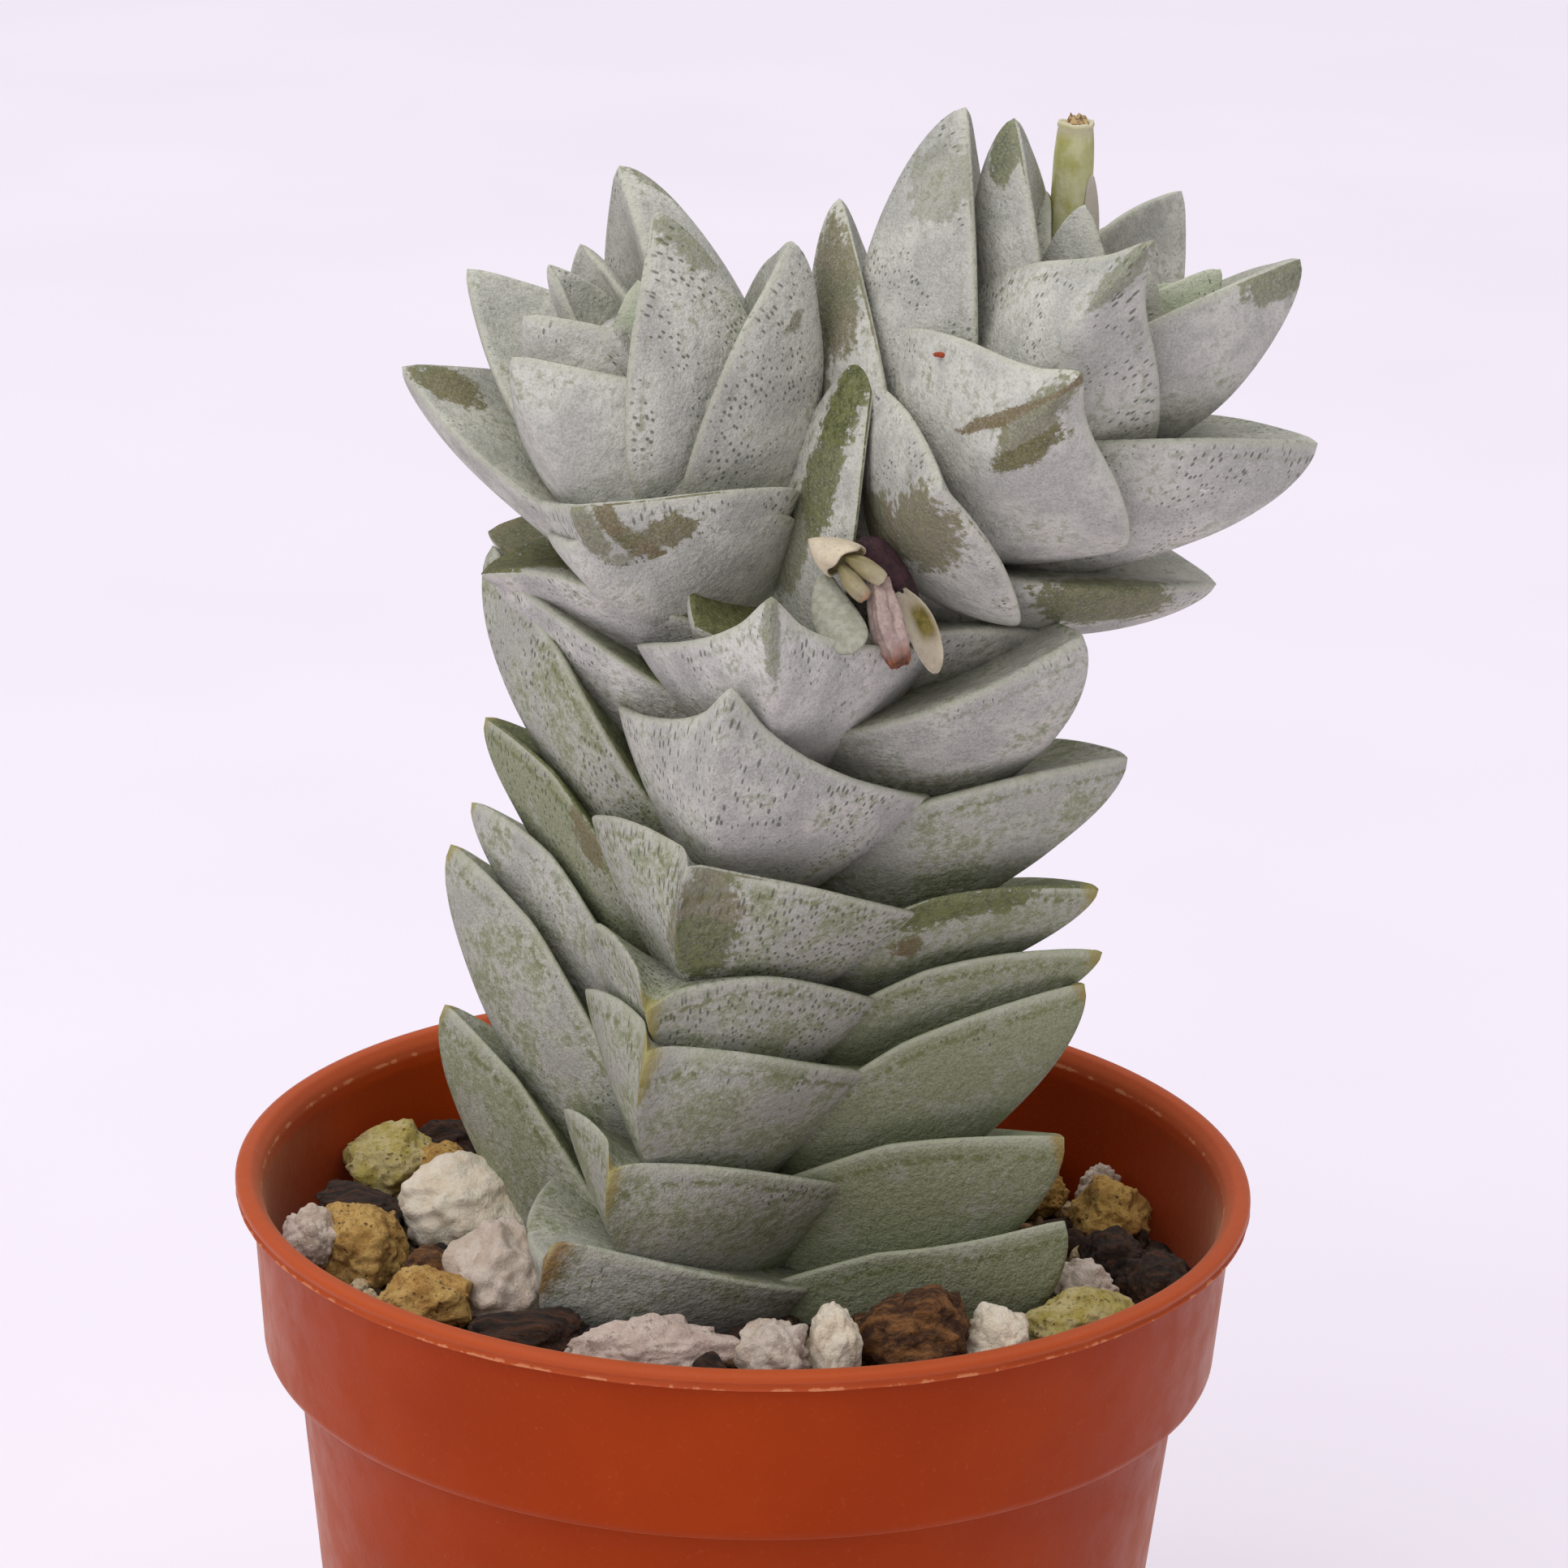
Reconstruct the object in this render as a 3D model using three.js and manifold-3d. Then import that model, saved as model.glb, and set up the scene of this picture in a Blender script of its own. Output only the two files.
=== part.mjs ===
// A potted crassula: a column of thick keeled leaves that forks into two heads,
// growing in compost and loose grit in a small thin-walled nursery pot.
// Millimetres, +Z up. The origin is the centre of the pot's underside.
// Azimuth 0 points to the front (-Y) and 90 points to the right (+X).
import * as THREE from 'three';
import { mergeVertices } from 'three/addons/utils/BufferGeometryUtils.js';
import Module from 'manifold-3d';

const wasm = await Module();
wasm.setup();

const RAD = Math.PI / 180;
const GAP = 0.3;

// The pot: a thin wall, a sharp step up to a plain band, and a rounded lip.
const POT_HEIGHT = 50;
const RIM_RADIUS = 27.5;
const BASE_RADIUS = 19.6;
const WALL = 0.7;
const FLOOR = 0.8;
const STEP_Z = 40.2;
const BODY_SLOPE = 0.1075;
const BAND_RADIUS = 25.85;
const BAND_SLOPE = 0.08;
const LIP_DEPTH = 0.8;
const POT_SIDES = 48;
const ROOM_SIDES = 36;
const DRAIN_HOLES = 4;
const DRAIN_RADIUS = 2.2;
const DRAIN_RING = 12.5;
const RIBS = 6;
const RIB_LENGTH = 5.5;

// The grit surface is a plane that rises to the front and to the left.
const GRIT_LEVEL = 44.8;
const GRIT_RISE_LEFT = 0.03;
const GRIT_RISE_FRONT = 0.09;
const SOIL_BELOW_GRIT = 0.9;

// The plant: one stem that forks, and the shape that all its leaves share.
const STEM_LEAN = 5;
const STEM_FOOT_Z = 37;
const FORK_Z = 81;
const LEAF_CUP = 1.2;
const KEEL_POWER = 1.45;
const LEAF_STATIONS = 6;
const SMALL_LEAF = 9.6;
const STEM_LINE = [[0.3, 37], [0.3, 44], [0.6, 52], [1.2, 60], [1.7, 68], [2.2, 76], [2.0, 84]];
const LEFT_BRANCH = { from: [1, -0.5, FORK_Z], to: [-9, -1.5, 96.5] };
const RIGHT_BRANCH = { from: [2.5, -0.5, FORK_Z], to: [19, -2, 97] };

// Each leaf: where it roots, then azimuth, reach, rise, width, thickness, roll,
// droop of the tip and bow of the midrib. Column leaves root at a height.
const FRONT_LEAVES = [
  [45.5, -35, 18.5, 5, 16, 7, -6, 0, -0.5],
  [49.5, -27, 17.5, 6, 16, 6, 2, 0.5, 0],
  [57, -22, 17.5, 5.5, 16, 7, -2, 0.5, -1],
  [59.5, -23, 17.5, 7, 16, 5.5, 2, 2.5, 0],
  [66, -18, 17.5, 6.5, 18, 6, -4, 0.5, -1],
  [73, -14, 17, 6, 17, 6.5, -6, -2, -2],
  [78, -8, 17, 6, 15.5, 5, 8, -2, -0.5],
];
const RIGHT_LEAVES = [
  [43.5, 63, 18, 7, 15.5, 7.5, 0, -1.5, 0],
  [49, 64, 17.5, 7.5, 14, 7.5, 0, 0, 0],
  [52, 70, 17, 12.5, 15, 6, 3, 0, 0],
  [56.5, 74, 17.5, 10, 14.5, 3.5, -5, 0.5, 0],
  [62.5, 73, 17, 7.5, 15, 4, 0, 0.5, 0],
  [69, 77, 17.5, 8, 15, 6, -3, 0.5, 0],
  [77.5, 60, 16, 6, 15, 7.5, 18, -0.5, -1.5],
  [80.5, 80, 14.5, 2.5, 15.5, 5, 0, 1, 1],
];
const LEFT_LEAVES = [
  [43, -108, 19, 12, 15, 7.5, 0, 0, 0],
  [49.5, -106, 19, 15.5, 15, 7, 2, 0.5, 0],
  [54.5, -107, 18, 13.5, 15, 4.5, 6, 1, 0],
  [62, -106, 17.5, 10.5, 15, 5.5, -3, 0.5, 0],
  [68.5, -101, 17.5, 12.5, 16, 7, -10, -1, -1],
  [75, -98, 17, 6.5, 15.5, 6, -3, 0.5, 0.5],
  [80, -94, 17, 2.5, 15.5, 4.5, 0, 1.5, 1],
];
// The back of the column repeats the front rank by a rule.
const BACK_LEAVES = 7;
const BACK_FIRST = { height: 46.5, azimuth: 147 };
const BACK_STEP = { height: 5.4, azimuth: 4.5 };
const BACK_SHAPE = [17, 6.5, 15.5, 6, 0, 0.5, 0];

// Head leaves root at a distance along their branch.
const LEFT_HEAD = [
  [6.5, -28, 10, 6.5, 15, 5.5, -17, 0, 0],
  [4.5, -38, 10, 7, 14, 5, -10, 0, 0.5],
  [7, -38, 6, 12.5, 14.5, 5.5, -4, -1, 0],
  [7.5, 79, 12, 10.5, 13.5, 5, 4, 0.5, 0.5],
  [8.5, 67, 7.5, 14, 14.5, 5.5, 12, 0, 0.5],
  [8, 129, 7, 16, 14, 6, -23, 0, 0.5],
  [6, -145, 10.5, 16, 12.5, 5.5, 21, -0.5, 0],
  [4.5, -114, 12, 15.5, 14, 5, 8, -0.5, 0.5],
  [11, -40, 3.5, 10.5, 10, 4, -7, 0, 0.5],
  [12, 24, 4.5, 7, 5.5, 3, -2, 0, 0.5],
  [12.5, -122, 0, 10, 4.5, 2.5, 0, 0, 0],
  [12, 145, 3, 10, 6.5, 2.5, -3, 0, 0],
  [12.5, 63, 4.5, 7.5, 5, 3, 0, 0, 0.5],
  [2.5, -117, 14, 7.5, 11.5, 4, 4, 0, 0.5],
  [3.5, 178, 13, 8, 14, 5.5, 0, 0, 0.5],
  [9, 172, 8, 10, 12, 5, 0, 0, 0.5],
];
const RIGHT_HEAD = [
  [11.5, -21, 14, 9.5, 16, 5, 8, -0.5, -1],
  [15, -39, 11.5, 12, 12, 6, 17, -1, -1.5],
  [13.5, 79, 10, 13, 15, 6.5, -2, 0, 0.5],
  [18.5, 44, 3, 13.5, 13, 5, 40, 0, 0.5],
  [10.5, -92, 15, 14, 14.5, 6.5, -2, 0, 0],
  [16, -91, 13, 10, 11.5, 4, -4, 0, 0.5],
  [6, -99, 15.5, 10, 14.5, 4, 6, 0, 0.5],
  [6.5, 91, 13, 10.5, 14.5, 5, -2, 0, 0.5],
  [7.5, -21.5, 13.5, 6.5, 14.5, 3, -8, 1, -0.5],
  [0, -78, 10, 13, 14.5, 3.5, -15, -0.5, 0],
  [19, -80, 8, 7, 6, 3.5, 0, 0, 0.5],
  [17, 203, 9.5, 9, 9, 4, 2, 0, 0.5],
  [16, 196, 11, 12, 9.5, 4, 12, 0, 0],
  [20.5, -48, 5.5, 6, 6, 3.5, -6, 0, 0],
  [19.5, 74, 0, 9, 7, 3, 0, 0, 0.5],
  [22, 88, 0, 5, 5, 2.5, 0, 0, 0.5],
  [16, -109, 9, 8, 7, 3.5, 0, 0, 0.5],
  [0, -42, 11, -2, 12, 3.5, 8, 0, 1],
  [6, 170, 14, 7, 15, 5.5, 0, 0, 0.5],
  [11, 178, 12, 9, 13.5, 5.5, 0, 0, 0.5],
];

// Loose grit: name, centre x and y, lift above the grit plane, three half sizes,
// turn about the vertical and seed of the lumps.
const GRIT = [
  ['pumice_cream_left', -15.3, 3, 1.1, 3.3, 2.8, 2.5, 10, 1],
  ['pumice_white_front_left', -12.6, -10.4, 0.9, 2.5, 2.3, 2.6, 60, 2],
  ['pumice_tan_left', -20.4, -4.4, 0.8, 2.6, 2.3, 2.3, 95, 3],
  ['pumice_green_left', -20, 10.9, 0.6, 2.5, 2.2, 1.9, 20, 4],
  ['pumice_ochre_left', -16.6, 9.4, 0.5, 2, 1.8, 1.7, 130, 5],
  ['pumice_white_wall_left', -23, -5.6, 1.4, 1.2, 1.3, 1.5, 40, 6],
  ['pumice_ochre_front_left', -16.6, -13.6, 0.7, 2.3, 1.8, 1.5, 25, 7],
  ['bark_strip_left', -21.2, 2.2, 0.6, 1.9, 3, 1, 20, 8],
  ['bark_front_left', -11.2, -17.4, 0.5, 2.7, 1.6, 1.1, 15, 9],
  ['bark_lump_left', -16.2, -8.2, 0.5, 1.4, 1.5, 1.4, 75, 10],
  ['bark_back_left', -17.4, 15.4, 0.4, 2, 1.8, 1.5, 30, 11],
  ['pumice_pink_front', -4.5, -19, 0.7, 3.5, 1.8, 1.5, 8, 12],
  ['pumice_white_front', 1.7, -18.8, 0.7, 1.6, 1.5, 1.6, 50, 13],
  ['pumice_tall_front', 4.9, -17.6, 1, 1.3, 1.4, 2.1, 5, 14],
  ['bark_lump_front', 9, -15.2, 1, 2.7, 2.3, 2.3, 35, 15],
  ['pumice_wedge_front', 13.4, -14.2, 0.7, 1.9, 1.5, 1.7, 140, 16],
  ['pumice_stained_right', 18.2, -10.4, 0.6, 3, 1.8, 1.5, 15, 17],
  ['pumice_white_right', 18.2, -4.6, 0.5, 1.8, 1.5, 1.4, 160, 18],
  ['bark_lump_right', 20.4, 1, 0.3, 2, 1.8, 1.6, 70, 19],
  ['bark_wall_right', 22.4, -3.4, 0.5, 1.5, 2, 1.6, 10, 20],
  ['pumice_yellow_right', 20.6, 8.6, 0.6, 2, 1.9, 1.9, 45, 21],
  ['pumice_small_right', 17, 12.6, 0.4, 1.3, 1.3, 1.3, 80, 22],
  ['pumice_white_back_right', 20.2, 13, 0.8, 1, 1, 1.3, 15, 23],
  ['pumice_white_back', 12.6, 19.6, 0.4, 1.7, 1.4, 1.4, 65, 24],
  ['pumice_ochre_back', 2.6, 21.8, 0.4, 2.3, 1.7, 1.6, 10, 25],
  ['bark_lump_back', -7.4, 21.4, 0.4, 2.3, 1.8, 1.5, 25, 26],
  ['pumice_cream_back', 7.6, 18.6, 0.6, 2, 1.7, 1.8, 35, 27],
  ['pumice_tan_back', -12.2, 17, 0.6, 2.1, 1.8, 1.8, 120, 28],
  ['bark_small_back', 16.6, 16.4, 0.3, 1.5, 1.2, 1.1, 55, 29],
  ['pumice_white_back_left', -2.4, 18.4, 0.5, 1.5, 1.4, 1.4, 15, 30],
];
const GRIT_COLORS = { pumice: 0xc9bfa8, bark: 0x3a2a20 };

// A lathed or hand-built shape as a closed boolean solid.
function toSolid(geometry) {
  const plain = geometry.clone();
  plain.deleteAttribute('normal');
  plain.deleteAttribute('uv');
  const welded = mergeVertices(plain, 1e-5);
  return new wasm.Manifold(new wasm.Mesh({
    numProp: 3,
    vertProperties: new Float32Array(welded.attributes.position.array),
    triVerts: new Uint32Array(welded.index.array),
  }));
}

function fromSolid(solid) {
  const mesh = solid.getMesh();
  const geometry = new THREE.BufferGeometry();
  geometry.setAttribute('position', new THREE.BufferAttribute(new Float32Array(mesh.vertProperties), 3));
  geometry.setIndex(new THREE.BufferAttribute(new Uint32Array(mesh.triVerts), 1));
  geometry.computeVertexNormals();
  return geometry;
}

// The largest body of a cut solid: slivers that a cut leaves behind are dropped.
function mainBody(solid) {
  let best = null;
  for (const body of solid.decompose()) {
    if (best === null || body.volume() > best.volume()) {
      best = body;
    }
  }
  return best;
}

function fuse(solids) {
  return solids.reduce((all, next) => all.add(next));
}

// Rings of points, each closed by a fan to its end point.
function skin(rings, first, last) {
  const sides = rings[0].length;
  const points = rings.flat();
  const firstIndex = points.length;
  points.push(first);
  const lastIndex = points.length;
  points.push(last);
  const index = [];
  for (let i = 0; i + 1 < rings.length; i += 1) {
    for (let j = 0; j < sides; j += 1) {
      const a = i * sides + j;
      const b = i * sides + ((j + 1) % sides);
      index.push(a, b, b + sides, a, b + sides, a + sides);
    }
  }
  const end = (rings.length - 1) * sides;
  for (let j = 0; j < sides; j += 1) {
    const k = (j + 1) % sides;
    index.push(firstIndex, k, j, end + j, end + k, lastIndex);
  }
  const flat = [];
  for (const p of points) {
    flat.push(p.x, p.y, p.z);
  }
  const geometry = new THREE.BufferGeometry();
  geometry.setAttribute('position', new THREE.Float32BufferAttribute(flat, 3));
  let volume = 0;
  for (let i = 0; i < index.length; i += 3) {
    const [a, b, c] = [points[index[i]], points[index[i + 1]], points[index[i + 2]]];
    volume += a.dot(new THREE.Vector3().crossVectors(b, c));
  }
  geometry.setIndex(volume < 0 ? index.reverse() : index);
  return geometry;
}

// The directions of a leaf: e outwards, t along the stem, n sideways.
function leafFrame(axis, azimuth) {
  const t = axis.clone().normalize();
  const e = new THREE.Vector3(Math.sin(azimuth * RAD), -Math.cos(azimuth * RAD), 0);
  e.addScaledVector(t, -e.dot(t)).normalize();
  return { e, t, n: new THREE.Vector3().crossVectors(t, e) };
}

// Half width along the leaf: broad at the root, widest at a third, pointed at the tip.
function widthShare(s) {
  const root = 0.7;
  const widest = 0.36;
  if (s < widest) {
    return root + (1 - root) * Math.sin((s / widest) * Math.PI / 2);
  }
  const u = (s - widest) / (1 - widest);
  return Math.max(0, 1 - u ** 1.7) ** 0.85;
}

// A point of the leaf: s runs from root to tip, v from margin to margin.
function leafPoint(leaf, frame, s, v, under, grow) {
  const { e, t, n } = frame;
  const reach = leaf.reach + 2 * grow;
  const tip = new THREE.Vector3().addScaledVector(e, reach).addScaledVector(t, leaf.rise);
  const control = tip.clone().multiplyScalar(0.5).addScaledVector(t, leaf.bow);
  const along = s * (1 + 2 * grow / Math.max(4, leaf.reach));
  const nod = Math.min(1.2, Math.max(0, (along - 0.68) / 0.32));
  const point = leaf.root.clone();
  point.addScaledVector(control, 2 * s * (1 - s));
  point.addScaledVector(tip, s * s);
  point.addScaledVector(t, -leaf.droop * nod * nod);
  const ahead = control.clone().multiplyScalar(2 - 4 * s);
  ahead.addScaledVector(tip, 2 * s);
  ahead.addScaledVector(t, -leaf.droop * 2 * nod / 0.32);
  ahead.normalize();
  const side = n.clone().addScaledVector(ahead, -n.dot(ahead)).normalize();
  const up = new THREE.Vector3().crossVectors(ahead, side);
  const roll = leaf.roll * RAD;
  const across = side.clone().multiplyScalar(Math.cos(roll)).addScaledVector(up, Math.sin(roll));
  const above = up.clone().multiplyScalar(Math.cos(roll)).addScaledVector(side, -Math.sin(roll));
  const share = widthShare(s);
  const half = (leaf.width / 2 + 2.2 * grow) * share;
  const depth = (leaf.thick + 2.6 * grow) * Math.max(0, 1 - s * s) ** 0.7;
  let lift = LEAF_CUP * share * v * v + grow;
  if (under) {
    lift -= depth * (1 - Math.abs(v) ** KEEL_POWER);
  }
  return point.addScaledVector(across, v * half).addScaledVector(above, lift);
}

function leafSolid(leaf, grow = 0) {
  const frame = leafFrame(leaf.axis, leaf.azimuth);
  const small = leaf.width < SMALL_LEAF;
  const stations = small ? LEAF_STATIONS - 1 : LEAF_STATIONS;
  const section = [];
  for (const v of small ? [-1, 1] : [-1, 0, 1]) {
    section.push([v, false]);
  }
  for (const v of [0.6, 0, -0.6]) {
    section.push([v, true]);
  }
  const rings = [];
  for (let i = 0; i < stations; i += 1) {
    const u = i / stations;
    const s = 0.45 * u + 0.55 * Math.sin(u * Math.PI / 2);
    rings.push(section.map(([v, under]) => leafPoint(leaf, frame, s, v, under, grow)));
  }
  const root = new THREE.Vector3();
  for (const p of rings[0]) {
    root.addScaledVector(p, 1 / section.length);
  }
  return toSolid(skin(rings, root, leafPoint(leaf, frame, 1, 0, false, grow)));
}

// A leafy piece with a gap's thickness added all over, to cut its neighbours with.
function clearOf(solid, rodGrown, leaves) {
  return fuse([solid, rodGrown, ...leaves.map((leaf) => leafSolid(leaf, GAP))]);
}

function leafFrom(root, axis, shape) {
  const [azimuth, reach, rise, width, thick, roll, droop, bow] = shape;
  return { root, axis, azimuth, reach, rise, width, thick, roll, droop, bow };
}

// Where the stem's middle line stands at a height.
function stemX(z) {
  const line = STEM_LINE;
  let i = 0;
  while (i < line.length - 2 && z > line[i + 1][1]) {
    i += 1;
  }
  const [x0, z0] = line[i];
  const [x1, z1] = line[i + 1];
  return x0 + (x1 - x0) * (z - z0) / (z1 - z0);
}

function rodSolid(points, radii, sides) {
  const rings = [];
  points.forEach((p, i) => {
    const before = points[Math.max(0, i - 1)];
    const after = points[Math.min(points.length - 1, i + 1)];
    const along = after.clone().sub(before).normalize();
    const x = new THREE.Vector3(0, 1, 0).cross(along).normalize();
    const y = along.clone().cross(x);
    const ring = [];
    for (let j = 0; j < sides; j += 1) {
      const a = (2 * Math.PI * j) / sides;
      const edge = p.clone().addScaledVector(x, radii[i] * Math.cos(a));
      ring.push(edge.addScaledVector(y, radii[i] * Math.sin(a)));
    }
    rings.push(ring);
  });
  return toSolid(skin(rings, points[0], points[points.length - 1]));
}

function columnLeaves() {
  const lean = new THREE.Vector3(Math.sin(STEM_LEAN * RAD), 0, Math.cos(STEM_LEAN * RAD));
  const rows = [...FRONT_LEAVES, ...RIGHT_LEAVES, ...LEFT_LEAVES];
  for (let i = 0; i < BACK_LEAVES; i += 1) {
    const height = BACK_FIRST.height + i * BACK_STEP.height;
    rows.push([height, BACK_FIRST.azimuth + i * BACK_STEP.azimuth, ...BACK_SHAPE]);
  }
  return rows.map(([z, ...shape]) => leafFrom(new THREE.Vector3(stemX(z), 0, z), lean, shape));
}

function branchLeaves(branch, rows) {
  const from = new THREE.Vector3(...branch.from);
  const along = new THREE.Vector3(...branch.to).sub(from).normalize();
  return rows.map(([d, ...shape]) => leafFrom(from.clone().addScaledVector(along, d), along, shape));
}

function branchRod(branch, grow) {
  const from = new THREE.Vector3(...branch.from);
  const to = new THREE.Vector3(...branch.to);
  const points = [from, from.clone().lerp(to, 0.5), to];
  return rodSolid(points, [3.4 + grow, 3 + grow, 1.8 + grow], 10);
}

function columnRod(grow) {
  const points = STEM_LINE.map(([x, z]) => new THREE.Vector3(x, 0, z));
  const radii = points.map((p, i) => (i === 0 ? 2.6 : 4) + grow);
  points[0].z = STEM_FOOT_Z - grow;
  return rodSolid(points, radii, 12);
}

function bodyRadius(z) {
  return BASE_RADIUS + 0.25 + BODY_SLOPE * z;
}

function bandRadius(z) {
  return BAND_RADIUS + BAND_SLOPE * (z - STEP_Z);
}

function lathe(profile, sides) {
  const points = profile.map(([r, z]) => new THREE.Vector2(r, z));
  return toSolid(new THREE.LatheGeometry(points, sides).rotateX(Math.PI / 2));
}

function potSolid() {
  const insideStep = STEP_Z + WALL;
  const bandTop = POT_HEIGHT - 1;
  const profile = [
    [0, FLOOR],
    [0, 0],
    [BASE_RADIUS, 0],
    [bodyRadius(0.5), 0.5],
    [bodyRadius(STEP_Z - 0.2), STEP_Z - 0.2],
    [BAND_RADIUS - 0.35, STEP_Z - 0.1],
    [BAND_RADIUS, STEP_Z + 0.25],
    [bandRadius(bandTop), bandTop],
    [RIM_RADIUS - 0.35, POT_HEIGHT - 0.95],
    [RIM_RADIUS, POT_HEIGHT - LIP_DEPTH],
    [RIM_RADIUS, POT_HEIGHT - 0.25],
    [RIM_RADIUS - 0.25, POT_HEIGHT],
    [RIM_RADIUS - 0.85, POT_HEIGHT],
    [RIM_RADIUS - 1.35, POT_HEIGHT - 0.5],
    [bandRadius(POT_HEIGHT - 1.5) - WALL, POT_HEIGHT - 1.5],
    [bandRadius(insideStep) - WALL, insideStep + 0.3],
    [bandRadius(insideStep) - WALL - 0.3, insideStep],
    [bodyRadius(insideStep) - WALL, insideStep],
    [bodyRadius(FLOOR + 1) - WALL, FLOOR + 1],
    [bodyRadius(FLOOR) - WALL - 0.8, FLOOR],
  ];
  const points = profile.map(([r, z]) => new THREE.Vector2(r, z));
  points.push(points[0].clone());
  let pot = toSolid(new THREE.LatheGeometry(points, POT_SIDES).rotateX(Math.PI / 2));
  for (let i = 0; i < DRAIN_HOLES; i += 1) {
    const a = (2 * Math.PI * (i + 0.5)) / DRAIN_HOLES;
    const hole = new THREE.CylinderGeometry(DRAIN_RADIUS, DRAIN_RADIUS, 4, 16).rotateX(Math.PI / 2);
    hole.translate(DRAIN_RING * Math.cos(a), DRAIN_RING * Math.sin(a), 0);
    pot = pot.subtract(toSolid(hole));
  }
  for (let i = 0; i < RIBS; i += 1) {
    const a = (2 * Math.PI * i) / RIBS + 12 * RAD;
    pot = pot.add(toSolid(ribGeometry(a, 0)));
  }
  return pot;
}

// A small upright rib on the inside of the band, kept flush inside the wall.
function ribGeometry(angle, grow) {
  const z = STEP_Z + 0.5 + RIB_LENGTH / 2;
  const rib = new THREE.BoxGeometry(1.3 + 2 * grow, 0.6 + 2 * grow, RIB_LENGTH + 2 * grow);
  rib.translate(bandRadius(z) - WALL - 0.3, 0, z);
  return rib.rotateZ(angle);
}

// The room inside the pot, a gap clear of its walls and ribs.
function insideSolid(top) {
  const step = STEP_Z + WALL + GAP;
  const room = lathe([
    [0, FLOOR + GAP],
    [bodyRadius(FLOOR) - WALL - 1 - GAP, FLOOR + GAP],
    [bodyRadius(FLOOR + 1.2) - WALL - GAP, FLOOR + 1.4],
    [bodyRadius(step) - WALL - GAP, step],
    [bandRadius(step) - WALL - GAP - 0.3, step],
    [bandRadius(step) - WALL - GAP, step + 0.4],
    [bandRadius(top) - WALL - GAP, top],
    [0, top],
  ], ROOM_SIDES);
  let clear = room;
  for (let i = 0; i < RIBS; i += 1) {
    const a = (2 * Math.PI * i) / RIBS + 12 * RAD;
    clear = clear.subtract(toSolid(ribGeometry(a, GAP)));
  }
  return clear;
}

function gritLevel(x, y) {
  return GRIT_LEVEL - GRIT_RISE_LEFT * x - GRIT_RISE_FRONT * y;
}

function soilTop(x, y) {
  const bumps = 0.28 * Math.sin(0.9 * x + 0.4) * Math.cos(0.8 * y) + 0.2 * Math.sin(1.5 * x - 1.1 * y);
  return gritLevel(x, y) - SOIL_BELOW_GRIT + bumps;
}

function underSoilTop() {
  const sides = 26;
  const rings = [];
  for (const [radius, floor] of [[27, true], [27, false], [21.5, false], [16, false], [9, false]]) {
    const ring = [];
    for (let j = 0; j < sides; j += 1) {
      const a = (2 * Math.PI * j) / sides;
      const x = radius * Math.cos(a);
      const y = radius * Math.sin(a);
      ring.push(new THREE.Vector3(x, y, floor ? -1 : soilTop(x, y)));
    }
    rings.push(ring);
  }
  return toSolid(skin(rings, new THREE.Vector3(0, 0, -1), new THREE.Vector3(0, 0, soilTop(0, 0))));
}

// A stone: a ball of flat facets pushed in and out by a seeded rule.
function stoneSolid(row, grow) {
  const [, x, y, lift, a, b, c, turn, seed] = row;
  const ball = new THREE.IcosahedronGeometry(1, 1);
  ball.deleteAttribute('normal');
  ball.deleteAttribute('uv');
  const geometry = mergeVertices(ball, 1e-4);
  const position = geometry.attributes.position;
  for (let i = 0; i < position.count; i += 1) {
    const p = new THREE.Vector3().fromBufferAttribute(position, i);
    const lump = stoneLump(p, seed);
    p.set(p.x * (a * lump + grow), p.y * (b * lump + grow), p.z * (c * lump + grow));
    position.setXYZ(i, p.x, p.y, p.z);
  }
  geometry.rotateZ(turn * RAD);
  geometry.translate(x, y, gritLevel(x, y) + lift);
  return toSolid(geometry);
}

function stoneLump(p, seed) {
  const s = seed * 1.7;
  const slow = Math.sin(2.3 * p.x + s) * Math.cos(2.1 * p.y - s) + Math.sin(2.6 * p.z + 2 * s);
  const quick = Math.sin(4.3 * p.x + 3 * s) * Math.sin(4.7 * p.y + s) * Math.cos(4.1 * p.z - s);
  return 1 + 0.09 * slow + 0.1 * quick;
}

// Dried bracts and a withered flower hang in front of the fork.
function spentBracts() {
  const knot = new THREE.Vector3(5, -10.6, 86.6);
  const core = new THREE.IcosahedronGeometry(1.1, 0).translate(knot.x, knot.y, knot.z);
  const upright = new THREE.Vector3(0, 0, 1);
  const blade = (tip, width, thick, roll) => {
    const [x, y, z] = [tip[0] - knot.x, tip[1] - knot.y, tip[2] - knot.z];
    const azimuth = Math.atan2(x, -y) / RAD;
    const shape = [azimuth, Math.hypot(x, y), z, width, thick, roll, 0, 0.2];
    return leafSolid(leafFrom(knot, upright, shape));
  };
  const withered = rodSolid(
    [
      knot.clone(),
      new THREE.Vector3(6.3, -11.3, 85.1),
      new THREE.Vector3(6.8, -11.8, 83.4),
      new THREE.Vector3(7.3, -12.1, 82),
    ],
    [0.7, 0.85, 0.8, 0.4],
    7,
  );
  return fuse([
    toSolid(core),
    withered,
    blade([2.4, -9.8, 88.1], 2.8, 1.6, 0),
    blade([6.2, -11.9, 86.3], 2, 1.4, 0),
    blade([5.2, -14.6, 83.8], 3.4, 1.3, 30),
    blade([9, -10.3, 81.3], 2, 1.2, -30),
  ]);
}

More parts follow.
